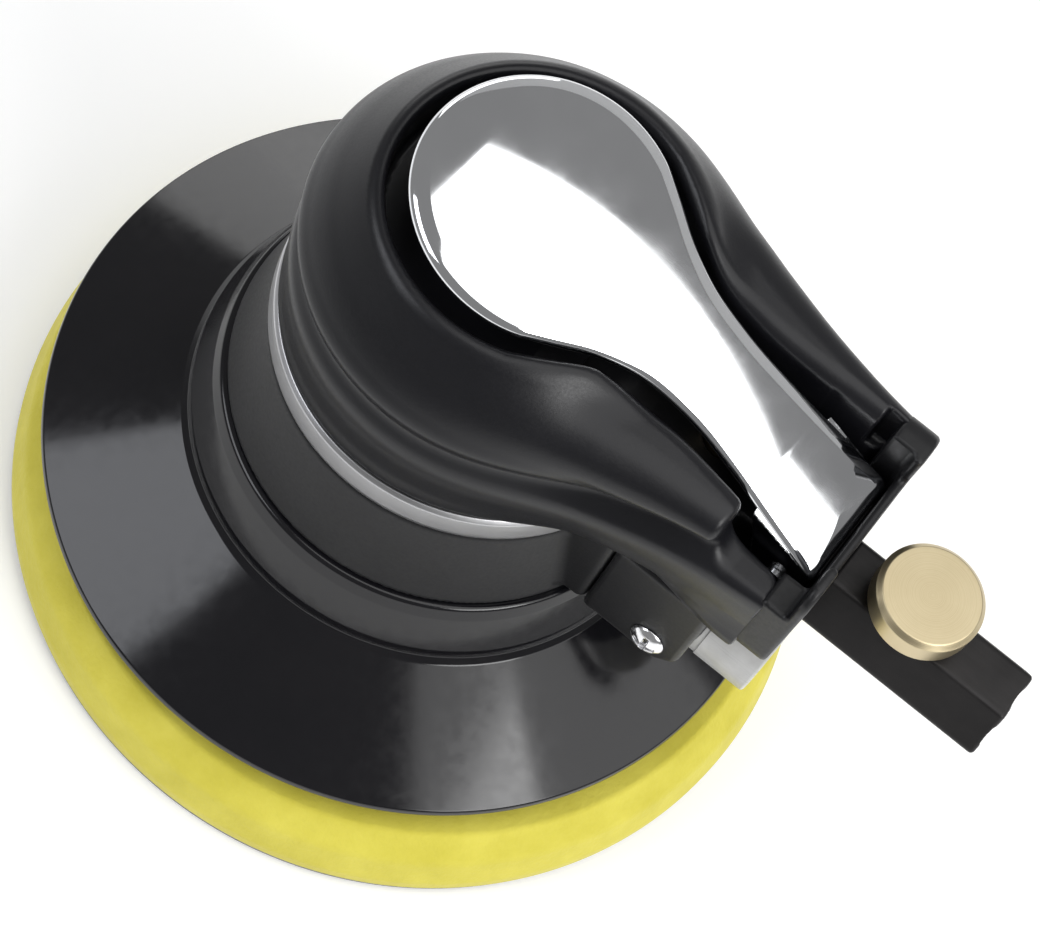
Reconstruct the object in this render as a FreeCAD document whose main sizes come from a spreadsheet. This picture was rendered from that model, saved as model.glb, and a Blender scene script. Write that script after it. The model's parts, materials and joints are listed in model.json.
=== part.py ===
"""Palm-grip pneumatic random-orbital sander, as a parametric assembly.

Millimetres. +Z points up along the motor axis and +X runs back along the handle to the air inlet.
The origin is on the motor axis, in the plane of the pad's working face.
Every driving size is a cell of the sheet, and each sub-part reads its sizes from there.
"""
import FreeCAD, Part
import math
import os
import Sketcher

DIMENSIONS = {
    # pad assembly, on the orbiting axis
    "orbit": 2.5, "pad_radius": 62.5, "hook_thick": 1.6, "foam_top_z": 13.0, "foam_top_radius": 57.5,
    "plate_radius": 48.0, "plate_top_z": 15.4, "hub_radius": 13.0, "hub_top_z": 18.0,
    "stud_radius": 3.96, "stud_head_radius": 7.0, "stud_top_z": 29.0, "thread_radius": 4.02,
    "spindle_radius": 6.0, "spindle_flange_radius": 9.5, "spindle_flange_top_z": 20.4, "spindle_top_z": 33.6,
    # spindle bearing and balancer
    "spindle_bearing_z": 21.6, "spindle_bearing_tall": 12.0, "big_bearing_radius": 14.0,
    "big_ball_radius": 2.3, "big_ball_pitch": 10.0,
    "balancer_low_z": 19.6, "balancer_top_z": 34.6, "balancer_hub_radius": 17.4, "balancer_radius": 26.0,
    "snap_ring_z": 20.3, "snap_ring_thick": 1.2,
    # motor
    "shaft_top_z": 82.0, "shaft_low_radius": 6.0, "shaft_high_radius": 4.0,
    "low_bearing_z": 36.0, "low_bearing_tall": 8.0,
    "high_bearing_z": 73.0, "high_bearing_tall": 7.0, "small_bearing_radius": 11.0,
    "small_ball_radius": 1.9, "small_ball_pitch": 7.5,
    "low_plate_z": 44.0, "motor_low_z": 49.0, "motor_top_z": 71.0, "high_plate_top_z": 76.0,
    "motor_radius": 25.0, "chamber_radius": 20.1, "chamber_offset": 2.0, "rotor_radius": 18.0,
    "rotor_gap": 0.1, "vane_thick": 1.5, "vane_inner_radius": 8.8, "vane_outer_radius": 17.7,
    "vane_gap": 0.06, "align_pin_radius": 1.5, "align_pin_place": 21.6,
    "lock_ring_inner": 17.4, "lock_ring_z": 37.0, "lock_ring_tall": 6.9, "key_side": 3.0, "key_tall": 14.0,
    # housing
    "spigot_low_z": 30.0, "spigot_radius": 31.0, "spigot_bore": 27.5, "neck_low_z": 41.2,
    "neck_low_radius": 33.7, "neck_top_z": 58.2, "neck_top_radius": 30.2, "ring_groove_radius": 28.4,
    "trim_radius": 30.6, "trim_top_z": 64.0, "core_radius": 28.2, "core_top_z": 86.0,
    "chamber_top_z": 77.0, "bearing_room_radius": 14.0, "bearing_room_top_z": 82.6,
    "handle_rear_x": 59.0, "flange_front_x": 54.2, "flange_half": 17.2, "flange_low_z": 65.4,
    "flange_top_z": 89.5, "duct_half": 15.0, "duct_rear_x": 34.0, "duct_low_z": 43.0,
    # skirt
    "skirt_radius": 57.9, "skirt_low_z": 17.6, "skirt_bead_radius": 37.3, "skirt_bead_z": 29.3,
    "collar_top_z": 41.0, "collar_top_radius": 34.2, "skirt_thick": 1.8,
    # grip cover
    "grip_low_z": 64.2, "grip_low_radius": 30.0, "groove_z": 82.5, "groove_radius": 29.3,
    "band_z": 78.0, "band_radius": 30.9, "rim_z": 97.6, "rim_radius": 22.4, "recess_floor_z": 89.5,
    "grip_rear_x": 54.2, "tail_notch_z": 83.4,
    "scoop_z": 81.7, "lever_gap": 2.3, "channel_half": 11.0, "channel_rear_x": 57.5,
    # lever
    "lever_thick": 2.0, "lever_head_radius": 19.2, "lever_rear_x": 57.1, "ear_thick": 1.5,
    "pin_x": 52.6, "pin_z": 76.2, "pin_radius": 1.5, "pin_gap": 0.05,
    # throttle valve
    "valve_x": 36.0, "stem_radius": 3.0, "stem_gap": 0.05, "stem_top_z": 88.7, "stem_low_z": 70.4,
    "valve_chamber_radius": 6.5, "seat_z": 70.4, "seat_tall": 2.8, "seat_bore": 4.6,
    "disc_radius": 5.6, "disc_thick": 2.2, "plug_low_z": 58.0, "plug_top_z": 61.4,
    # inlet and regulator
    "inlet_z": 67.5, "inlet_flats": 13.5, "inlet_rear_x": 89.0, "inlet_thread_radius": 5.0,
    "inlet_front_x": 48.0, "inlet_bore_radius": 5.72, "inlet_bore_deep": 12.0, "air_way_radius": 3.0,
    "knob_x": 70.9, "knob_radius": 7.8, "knob_top_z": 81.6, "knob_low_z": 76.8, "spool_radius": 3.6,
    "spool_low_z": 62.6,
    # exhaust
    "exhaust_rear_x": 50.0, "exhaust_top_z": 63.8, "saddle_half": 8.6, "saddle_z": 57.6,
    "tube_boss_radius": 10.6, "tube_boss_x": 40.0,
    "tube_z": 43.0, "tube_radius": 9.0, "tube_bore": 7.4, "tube_rear_x": 60.0, "tube_front_x": 42.0,
    "tube_seat_radius": 8.8, "tube_step_x": 51.0,
    "exhaust_screw_x": 44.7, "exhaust_screw_z": 47.5,
}

doc = FreeCAD.newDocument("orbital_sander")
dims = doc.addObject("Spreadsheet::Sheet", "dims")
for row, (alias, size) in enumerate(DIMENSIONS.items(), 1):
    dims.set(f"A{row}", alias)
    dims.set(f"B{row}", str(size))
    dims.setAlias(f"B{row}", alias)
doc.recompute()

nodes = {}
UP = FreeCAD.Vector(0, 0, 1)
BACK = FreeCAD.Vector(1, 0, 0)
SIDE = FreeCAD.Vector(0, 1, 0)


def value(expression):
    """Number that an expression of sheet cells stands for."""
    return float(dims.evalExpression(str(expression)))


def bind(thing, prop, expression):
    """Tie one property to an expression of sheet cells."""
    thing.setExpression(prop, str(expression))


def node(name, thing):
    """Name an object as one sub-part of the assembly."""
    thing.Label = name
    nodes[name] = thing
    return thing


def outline(body, name, role, points, offset=None):
    """Closed sketch through points (x, y) of sheet expressions, on one of the body's own planes."""
    sketch = body.newObject("Sketcher::SketchObject", name)
    plane = next(one for one in body.Origin.OriginFeatures if one.Role == role)
    sketch.AttachmentSupport = [(plane, "")]
    sketch.MapMode = "FlatFace"
    if offset is not None:
        bind(sketch, "AttachmentOffset.Base.z", offset)
    corners = [FreeCAD.Vector(value(x), value(y), 0) for x, y in points]
    for start, end in zip(corners, corners[1:] + corners[:1]):
        sketch.addGeometry(Part.LineSegment(start, end))
    for index, (x, y) in enumerate(points):
        sketch.addConstraint(Sketcher.Constraint("Coincident", index - 1 if index else len(points) - 1, 2, index, 1))
        for kind, expression in (("DistanceX", x), ("DistanceY", y)):
            number = sketch.addConstraint(Sketcher.Constraint(kind, index, 1, value(expression)))
            bind(sketch, f"Constraints[{number}]", expression)
    return sketch


def revolved(name, points):
    """Body turned about the vertical axis from a half section of points (radius, height)."""
    body = doc.addObject("PartDesign::Body", name)
    sketch = outline(body, name + "_section", "XZ_Plane", points)
    turn = body.newObject("PartDesign::Revolution", name + "_turn")
    turn.Profile = sketch
    turn.ReferenceAxis = (sketch, ["V_Axis"])
    turn.Angle = 360.0
    sketch.Visibility = False
    return body


def side_block(name, points, half):
    """Body drawn in side view, points (x, z), and padded to both sides of the middle plane."""
    body = doc.addObject("PartDesign::Body", name)
    sketch = outline(body, name + "_side", "XZ_Plane", points)
    pad = body.newObject("PartDesign::Pad", name + "_pad")
    pad.Profile = sketch
    pad.Midplane = True
    bind(pad, "Length", f"2 * ({half})")
    return body


def rounded(body, radius, picks):
    """Fillet, with one radius, the edges of a body's tip that the test picks."""
    doc.recompute()
    base = body.Tip
    names = [f"Edge{i}" for i, edge in enumerate(base.Shape.Edges, 1) if picks(edge)]
    fillet = body.newObject("PartDesign::Fillet", body.Name + "_round")
    fillet.Base = (base, names)
    fillet.Radius = radius
    return body


def cylinder(name, radius, low, high, x="0", y="0", axis=UP):
    """Round bar from low to high along an axis; x and y (or z for a lying one) place it."""
    bar = doc.addObject("Part::Cylinder", name)
    bind(bar, "Radius", radius)
    bind(bar, "Height", f"({high}) - ({low})")
    if axis == UP:
        place = (x, y, low)
    elif axis == BACK:
        place = (low, x, y)
    else:
        place = (x, low, y)
    bar.Placement = FreeCAD.Placement(FreeCAD.Vector(), FreeCAD.Rotation(UP, axis))
    for letter, expression in zip("xyz", place):
        bind(bar, f"Placement.Base.{letter}", expression)
    return bar


def block(name, x, y, z):
    """Box between pairs of sheet expressions."""
    box = doc.addObject("Part::Box", name)
    for prop, (low, high) in zip(("Length", "Width", "Height"), (x, y, z)):
        bind(box, prop, f"({high}) - ({low})")
    for letter, (low, _high) in zip("xyz", (x, y, z)):
        bind(box, f"Placement.Base.{letter}", low)
    return box


def fused(name, *things):
    """Union of objects."""
    union = doc.addObject("Part::MultiFuse", name)
    union.Shapes = list(things)
    union.Refine = True
    return union


def cut(name, base, *tools):
    """Base with the tools taken away."""
    result = doc.addObject("Part::Cut", name)
    result.Base = base
    result.Tool = tools[0] if len(tools) == 1 else fused(name + "_tools", *tools)
    return result


def group(name, things):
    """Separate solids that one node holds together."""
    together = doc.addObject("Part::Compound", name)
    together.Links = list(things)
    return together


def torus(name, ring, tube, z, x="0", y="0"):
    """Ring of round section at a height, also used as the groove of a ball race."""
    ring_object = doc.addObject("Part::Torus", name)
    bind(ring_object, "Radius1", ring)
    bind(ring_object, "Radius2", tube)
    for letter, expression in zip("xyz", (x, y, z)):
        bind(ring_object, f"Placement.Base.{letter}", expression)
    return ring_object


def tube(name, outer, inner, low, high, x="0"):
    """Plain ring: a round bar with a round bore."""
    return cut(name, cylinder(name + "_bar", outer, low, high, x),
               cylinder(name + "_bore", inner, f"({low}) - 1", f"({high}) + 1", x))


def bearing(name, size, bore, low, tall, rows, balls, x="0"):
    """Ball bearing: two grooved rings, and its balls with the cage that spaces them."""
    pitch, ball, outside = f"dims.{size}_ball_pitch", f"dims.{size}_ball_radius", f"dims.{size}_bearing_radius"
    high = f"{low} + {tall}"
    middles = [f"{low} + {tall} * {(row + 0.5) / rows}" for row in range(rows)]
    inner_wall, outer_wall = f"{pitch} - 0.55 * {ball}", f"{pitch} + 0.55 * {ball}"

    def grooves(part):
        return [torus(f"{name}_{part}_groove_{i}", pitch, f"{ball} + 0.03", z, x) for i, z in enumerate(middles)]

    inner_blank = tube(name + "_inner_blank", inner_wall, bore, low, high, x)
    inner = cut(name + "_inner_ring", inner_blank, *grooves("inner"))
    outer = cut(name + "_outer_ring", tube(name + "_outer_blank", outside, outer_wall, low, high, x),
                *grooves("outer"))
    pieces = []
    for i, z in enumerate(middles):
        holes = []
        for j in range(balls):
            turn = 2 * math.pi * j / balls
            along = FreeCAD.Vector(math.cos(turn), math.sin(turn), 0)
            sphere = doc.addObject("Part::Sphere", f"{name}_ball_{i}_{j}")
            bind(sphere, "Radius", ball)
            pocket = doc.addObject("Part::Cylinder", f"{name}_pocket_{i}_{j}")
            bind(pocket, "Radius", f"{ball} + 0.08")
            bind(pocket, "Height", pitch)
            pocket.Placement = FreeCAD.Placement(FreeCAD.Vector(), FreeCAD.Rotation(UP, along))
            for thing, reach in ((sphere, pitch), (pocket, f"{pitch} / 2")):
                bind(thing, "Placement.Base.x", f"{x} + {reach} * {along.x}")
                bind(thing, "Placement.Base.y", f"{reach} * {along.y}")
                bind(thing, "Placement.Base.z", z)
            pieces.append(sphere)
            holes.append(pocket)
        band = tube(f"{name}_cage_band_{i}", f"{pitch} + 0.35 * {ball}", f"{pitch} - 0.35 * {ball}",
                    f"{z} - 1.25 * {ball}", f"{z} + 1.25 * {ball}", x)
        pieces.append(cut(f"{name}_cage_{i}", band, *holes))
    node(name + "_inner", inner)
    node(name + "_outer", outer)
    node(name + "_balls", group(name + "_ball_set", pieces))


def pad_assembly():
    """Hook face, foam, backing plate and stud, on the orbiting axis."""
    hook = cylinder("hook_disc", "dims.pad_radius - 0.4", "0", "dims.hook_thick", "dims.orbit")
    node("hook_face", hook)
    foam = revolved("foam_body", [
        ("0", "dims.hook_thick"), ("dims.pad_radius", "dims.hook_thick"),
        ("dims.pad_radius", "dims.hook_thick + 2.4"), ("dims.pad_radius - 1.6", "dims.foam_top_z - 3.6"),
        ("dims.foam_top_radius", "dims.foam_top_z"), ("0", "dims.foam_top_z")])
    bind(foam, "Placement.Base.x", "dims.orbit")
    node("pad_foam", foam)
    plate = revolved("plate_body", [
        ("dims.thread_radius", "dims.foam_top_z"), ("dims.plate_radius", "dims.foam_top_z"),
        ("dims.plate_radius", "dims.foam_top_z + 1.2"), ("dims.plate_radius - 6", "dims.plate_top_z"),
        ("dims.hub_radius + 4", "dims.plate_top_z"), ("dims.hub_radius", "dims.hub_top_z"),
        ("dims.thread_radius", "dims.hub_top_z")])
    bind(plate, "Placement.Base.x", "dims.orbit")
    seat = cylinder("stud_head_seat", "dims.stud_head_radius", "dims.foam_top_z - 1", "dims.foam_top_z + 2", "dims.orbit")
    node("pad_plate", cut("plate_cut", plate, seat))
    stud = fused("stud", cylinder("stud_head", "dims.stud_head_radius", "dims.foam_top_z", "dims.foam_top_z + 2",
                                  "dims.orbit"),
                 cylinder("stud_shank", "dims.stud_radius", "dims.foam_top_z + 1", "dims.stud_top_z", "dims.orbit"))
    node("pad_stud", stud)


def spindle_assembly():
    """Spindle that carries the pad, and the double-row bearing that it turns in."""
    spindle = revolved("spindle_body", [
        ("dims.thread_radius", "dims.hub_top_z"), ("dims.spindle_flange_radius", "dims.hub_top_z"),
        ("dims.spindle_flange_radius", "dims.spindle_flange_top_z"),
        ("dims.spindle_radius + 1.2", "dims.spindle_flange_top_z"),
        ("dims.spindle_radius + 1.2", "dims.spindle_bearing_z"),
        ("dims.spindle_radius", "dims.spindle_bearing_z"), ("dims.spindle_radius", "dims.spindle_top_z - 0.6"),
        ("dims.spindle_radius - 0.6", "dims.spindle_top_z"), ("0", "dims.spindle_top_z"),
        ("0", "dims.stud_top_z + 0.8"), ("dims.thread_radius", "dims.stud_top_z + 0.4")])
    bind(spindle, "Placement.Base.x", "dims.orbit")
    flats = [block(f"wrench_flat_{i}", ("dims.orbit - 12", "dims.orbit + 12"), (low, high),
                   ("dims.hub_top_z - 1", "dims.spindle_flange_top_z"))
             for i, (low, high) in enumerate((("8", "12"), ("-12", "-8")))]
    node("spindle", cut("spindle_cut", spindle, *flats))
    bearing("spindle_bearing", "big", "dims.spindle_radius", "dims.spindle_bearing_z", "dims.spindle_bearing_tall",
            2, 10, "dims.orbit")


def balancer_assembly():
    """Eccentric balancer with its shaft, and the snap ring that keeps the spindle bearing in."""
    hub = cylinder("balancer_hub", "dims.balancer_hub_radius", "dims.balancer_low_z", "dims.balancer_top_z", "dims.orbit")
    weight = cut("balancer_weight", cylinder("weight_disc", "dims.balancer_radius", "dims.balancer_low_z",
                                             "dims.balancer_top_z"),
                 block("weight_side", ("-3", "30"), ("-30", "30"), ("10", "40")))
    turned = revolved("shaft_body", [
        ("0", "dims.balancer_top_z - 1"), ("8", "dims.balancer_top_z - 1"), ("8", "dims.low_bearing_z"),
        ("dims.shaft_low_radius", "dims.low_bearing_z"), ("dims.shaft_low_radius", "dims.motor_top_z + 1"),
        ("dims.shaft_high_radius", "dims.motor_top_z + 1.6"), ("dims.shaft_high_radius", "dims.shaft_top_z - 0.5"),
        ("dims.shaft_high_radius - 0.5", "dims.shaft_top_z"), ("0", "dims.shaft_top_z")])
    pocket = cylinder("bearing_pocket", "dims.big_bearing_radius", "dims.balancer_low_z - 1",
                      "dims.spindle_bearing_z + dims.spindle_bearing_tall", "dims.orbit")
    relief = cylinder("spindle_relief", "dims.big_bearing_radius - 3", "30", "dims.spindle_top_z + 0.4", "dims.orbit")
    groove = cylinder("snap_groove", "dims.big_bearing_radius + 0.8", "dims.snap_ring_z",
                      "dims.snap_ring_z + dims.snap_ring_thick", "dims.orbit")
    middle = "(dims.motor_low_z + dims.motor_top_z) / 2"
    keyway = block("shaft_keyway", ("dims.shaft_low_radius - dims.key_side / 2", "dims.shaft_low_radius + 2"),
                   ("-dims.key_side / 2", "dims.key_side / 2"),
                   (f"{middle} - dims.key_tall / 2", f"{middle} + dims.key_tall / 2"))
    node("balancer_shaft", cut("balancer_cut", fused("balancer_blank", hub, weight, turned),
                               pocket, relief, groove, keyway))
    ring = tube("snap_ring_full", "dims.big_bearing_radius + 0.7", "dims.big_bearing_radius - 1.6",
                "dims.snap_ring_z + 0.05", "dims.snap_ring_z + dims.snap_ring_thick - 0.05", "dims.orbit")
    gap = block("snap_ring_gap", ("dims.orbit + 5", "dims.orbit + 20"), ("-4", "4"), ("19", "23"))
    node("spindle_snap_ring", cut("snap_ring_open", ring, gap))
    node("rotor_key", block("key_bar", ("dims.shaft_low_radius - dims.key_side / 2",
                                        "dims.shaft_low_radius + dims.key_side / 2"),
                            ("-dims.key_side / 2", "dims.key_side / 2"),
                            (f"{middle} - dims.key_tall / 2", f"{middle} + dims.key_tall / 2")))


def motor_assembly():
    """Vane motor: rotor with five vanes in an offset chamber between two end plates."""
    low, high = "dims.motor_low_z + dims.rotor_gap", "dims.motor_top_z - dims.rotor_gap"
    slots, vanes = [], []
    count = 5
    for i in range(count):
        turn = FreeCAD.Rotation(UP, 36 + 360 / count * i)
        for kind, room, inner in (("slot", "dims.vane_gap", "dims.vane_inner_radius - 0.3"),
                                  ("vane", "0", "dims.vane_inner_radius")):
            outer = "dims.rotor_radius + 2" if kind == "slot" else "dims.vane_outer_radius"
            bar = side_block(f"{kind}_{i}", [(inner, low if kind == "vane" else "45"),
                                             (outer, low if kind == "vane" else "45"),
                                             (outer, high if kind == "vane" else "75"),
                                             (inner, high if kind == "vane" else "75")],
                             f"dims.vane_thick / 2 + {room}")
            bar.Placement = FreeCAD.Placement(FreeCAD.Vector(), turn)
            (slots if kind == "slot" else vanes).append(bar)
    key_room = block("rotor_keyway", ("0", "dims.shaft_low_radius + dims.key_side / 2"),
                     ("-dims.key_side / 2", "dims.key_side / 2"), ("45", "75"))
    node("rotor", cut("rotor_cut", tube("rotor_blank", "dims.rotor_radius", "dims.shaft_low_radius", low, high),
                      key_room, *slots))
    node("vanes", group("vane_set", vanes))
    pin_y = "-dims.align_pin_place"
    wall = cylinder("cylinder_wall", "dims.motor_radius", "dims.motor_low_z", "dims.motor_top_z")
    chamber = cylinder("cylinder_chamber", "dims.chamber_radius", "40", "80", "0", "dims.chamber_offset")
    pin_hole = cylinder("cylinder_pin_hole", "dims.align_pin_radius", "40", "80", "0", pin_y)
    exhaust = [block(f"exhaust_slot_{i}", ("15", "30"), ("-7", "7"), (f"{z}", f"{z} + 3"))
               for i, z in enumerate((51.5, 56.5, 61.5))]
    inlet = block("cylinder_inlet", ("-30", "-15"), ("-3", "3"), ("64", "dims.motor_top_z + 1"))
    node("motor_cylinder", cut("cylinder_cut", wall, chamber, pin_hole, inlet, *exhaust))
    low_plate = fused("low_plate_blank", cylinder("low_plate_disc", "dims.motor_radius", "dims.low_plate_z",
                                                  "dims.motor_low_z"),
                      cylinder("low_plate_boss", "dims.lock_ring_inner - 0.2", "dims.low_bearing_z", "dims.low_plate_z"))
    node("lower_end_plate", cut("low_plate_cut", low_plate,
                                cylinder("low_seat", "dims.big_bearing_radius", "30",
                                         "dims.low_bearing_z + dims.low_bearing_tall"),
                                cylinder("low_way", "dims.shaft_low_radius + 0.4", "30", "60"),
                                cylinder("low_relief", "dims.big_bearing_radius - 3", "30", "dims.low_plate_z + 0.6"),
                                cylinder("low_pin_hole", "dims.align_pin_radius", "46", "60", "0", pin_y)))
    high_plate = fused("high_plate_blank", cylinder("high_plate_disc", "dims.motor_radius", "dims.motor_top_z",
                                                    "dims.high_plate_top_z"),
                       cylinder("high_plate_boss", "dims.bearing_room_radius - 0.8", "dims.high_plate_top_z",
                                "dims.high_bearing_z + dims.high_bearing_tall + 1.4"))
    node("upper_end_plate", cut("high_plate_cut", high_plate,
                                cylinder("high_seat", "dims.small_bearing_radius", "dims.high_bearing_z", "90"),
                                cylinder("high_way", "dims.shaft_low_radius + 0.4", "60", "80"),
                                cylinder("high_pin_hole", "dims.align_pin_radius", "60", "74", "0", pin_y)))
    node("alignment_pin", cylinder("align_pin", "dims.align_pin_radius", "46", "74", "0", pin_y))
    node("shaft_snap_ring", tube("shaft_clip", "dims.shaft_high_radius + 2.2", "dims.shaft_high_radius",
                                 "dims.high_bearing_z + dims.high_bearing_tall + 0.1",
                                 "dims.high_bearing_z + dims.high_bearing_tall + 1.2"))
    bearing("lower_bearing", "big", "dims.shaft_low_radius", "dims.low_bearing_z", "dims.low_bearing_tall", 1, 10)
    bearing("upper_bearing", "small", "dims.shaft_high_radius", "dims.high_bearing_z", "dims.high_bearing_tall", 1, 9)
    ring = tube("lock_ring_blank", "dims.spigot_bore", "dims.lock_ring_inner", "dims.lock_ring_z",
                "dims.lock_ring_z + dims.lock_ring_tall")
    holes = [cylinder(f"spanner_hole_{i}", "1.6", "30", "dims.lock_ring_z + 4", x, y)
             for i, (x, y) in enumerate((("22.4", "0"), ("-22.4", "0"), ("0", "22.4"), ("0", "-22.4")))]
    node("lock_ring", cut("lock_ring_cut", ring, *holes))


def housing_envelope():
    """Outside of the composite housing: neck, head core, handle core, flange, duct and bosses."""
    head = revolved("housing_head", [
        ("0", "dims.spigot_low_z"), ("dims.spigot_radius", "dims.spigot_low_z"),
        ("dims.spigot_radius", "dims.neck_low_z"), ("dims.neck_low_radius", "dims.neck_low_z"),
        ("dims.neck_top_radius", "dims.neck_top_z"), ("dims.ring_groove_radius", "dims.neck_top_z"),
        ("dims.ring_groove_radius", "dims.trim_top_z"), ("dims.core_radius", "dims.trim_top_z"),
        ("dims.core_radius", "dims.core_top_z - 6"), ("dims.core_radius - 6", "dims.core_top_z"),
        ("0", "dims.core_top_z")])
    core = side_block("handle_core", [
        ("10", "dims.trim_top_z"), ("dims.flange_front_x + 1", "dims.flange_low_z + 1.5"),
        ("dims.flange_front_x + 1", "69.5"), ("43.5", "69.5"), ("43.5", "79"), ("22", "dims.core_top_z - 3"),
        ("10", "dims.core_top_z - 3")], "dims.channel_half")
    lug = block("pin_lug", ("43", "dims.channel_rear_x + 0.5"), ("-7.4", "7.4"), ("64", "79"))
    flange = side_block("rear_flange", [
        ("dims.flange_front_x", "dims.flange_low_z"), ("dims.handle_rear_x", "dims.flange_low_z"),
        ("dims.handle_rear_x", "dims.flange_top_z"), ("dims.flange_front_x", "dims.flange_top_z")],
        "dims.flange_half")
    rounded(flange, 4.5, lambda edge: abs(edge.tangentAt(edge.FirstParameter).x) > 0.99)
    room = block("flange_room", ("dims.flange_front_x - 1", "dims.channel_rear_x"),
                 ("-dims.channel_half", "dims.channel_half"), ("69.5", "95"))
    tail_notch = block("tail_notch", ("dims.flange_front_x - 1", "dims.handle_rear_x + 1"), ("-10", "10"),
                       ("dims.tail_notch_z", "95"))
    near_room = block("near_flange_room", ("dims.flange_front_x - 1", "dims.channel_rear_x"),
                      ("-20", "0"), ("dims.scoop_z", "95"))
    duct = block("exhaust_duct", ("20", "dims.duct_rear_x"), ("-dims.duct_half", "dims.duct_half"),
                 ("dims.duct_low_z", "dims.trim_top_z + 1"))
    boss = cylinder("inlet_boss", "8", "30", "dims.handle_rear_x", "0", "dims.inlet_z", BACK)
    open_flange = cut("flange_open", flange, room, near_room, tail_notch)
    return fused("housing_outside", head, core, lug, open_flange, duct, boss)


def housing(envelope):
    """Housing with its motor bore, air ways, valve bores and threads."""
    motor_room = revolved("motor_room", [
        ("0", "dims.spigot_low_z - 1"), ("dims.spigot_bore", "dims.spigot_low_z - 1"),
        ("dims.spigot_bore", "dims.low_plate_z"), ("dims.motor_radius", "dims.low_plate_z"),
        ("dims.motor_radius", "dims.chamber_top_z"), ("dims.bearing_room_radius", "dims.chamber_top_z"),
        ("dims.bearing_room_radius", "dims.bearing_room_top_z"), ("0", "dims.bearing_room_top_z")])
    tools = [
        motor_room,
        cylinder("inlet_thread", "dims.inlet_thread_radius", "dims.inlet_front_x", "70", "0", "dims.inlet_z", BACK),
        cylinder("inlet_way", "dims.air_way_radius", "dims.valve_x", "50", "0", "dims.inlet_z", BACK),
        cylinder("valve_room", "dims.valve_chamber_radius", "50", "dims.seat_z + dims.seat_tall", "dims.valve_x"),
        cylinder("valve_top_room", "5", "70", "76", "dims.valve_x"),
        cylinder("stem_hole", "dims.stem_radius + dims.stem_gap", "74", "90", "dims.valve_x"),
        cylinder("transfer_way", "2.6", "20", "dims.valve_x", "0", "dims.seat_z + 4", BACK),
        block("exhaust_way", ("20", "40"), ("-10", "10"), ("dims.duct_low_z + 3", "56")),
        cylinder("pin_bore", "dims.pin_radius", "-20", "20", "dims.pin_x", "dims.pin_z", SIDE),
    ]
    node("housing", cut("housing_cut", envelope, *tools))
    split = block("trim_split", ("20", "40"), ("-dims.duct_half", "dims.duct_half"), ("50", "70"))
    node("trim_ring", cut("trim_cut", tube("trim_full", "dims.trim_radius", "dims.ring_groove_radius",
                                           "dims.neck_top_z", "dims.trim_top_z"), split))
    node("motor_o_ring", torus("motor_seal", "20", "0.5", "dims.high_plate_top_z + 0.5"))


def skirt():
    """Rubber skirt: a cone over the pad with a collar that grips the housing's spigot."""
    body = revolved("skirt_body", [
        ("dims.spigot_radius", "dims.spigot_low_z"),
        ("dims.skirt_bead_radius - 1.6", "dims.skirt_bead_z - dims.skirt_thick - 0.4"),
        ("dims.skirt_radius - 2.6", "dims.skirt_low_z + 0.9"), ("dims.skirt_radius - 1.6", "dims.skirt_low_z"),
        ("dims.skirt_radius", "dims.skirt_low_z"), ("dims.skirt_radius - 0.3", "dims.skirt_low_z + 1.6"),
        ("dims.skirt_bead_radius + 0.6", "dims.skirt_bead_z"), ("dims.skirt_bead_radius", "dims.skirt_bead_z + 2.6"),
        ("dims.collar_top_radius + 0.8", "dims.collar_top_z - 2.4"),
        ("dims.collar_top_radius - 0.8", "dims.collar_top_z"), ("dims.spigot_radius", "dims.collar_top_z")])
    node("skirt", body)


def lever_plan(margin, height):
    """Face of the lever's outline seen from above, grown by a margin."""
    radius, rear = value("dims.lever_head_radius") + margin, value("dims.lever_rear_x")
    half_widths = [(8, 17.1), (12, 14.6), (17, 11.4), (22, 9.1), (30, 7.8), (40, 8.1), (48, 8.9), (rear, 9.7)]
    near, far = [[FreeCAD.Vector(x, side * (y + margin), height) for x, y in half_widths] for side in (-1, 1)]
    right, left = Part.BSplineCurve(), Part.BSplineCurve()
    right.interpolate(far)
    left.interpolate(near[::-1])
    nose = Part.Arc(near[0], FreeCAD.Vector(-radius, 0, height), far[0])
    tail = Part.LineSegment(far[-1], near[-1])
    return Part.Face(Part.Wire([nose.toShape(), right.toShape(), tail.toShape(), left.toShape()]))


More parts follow.
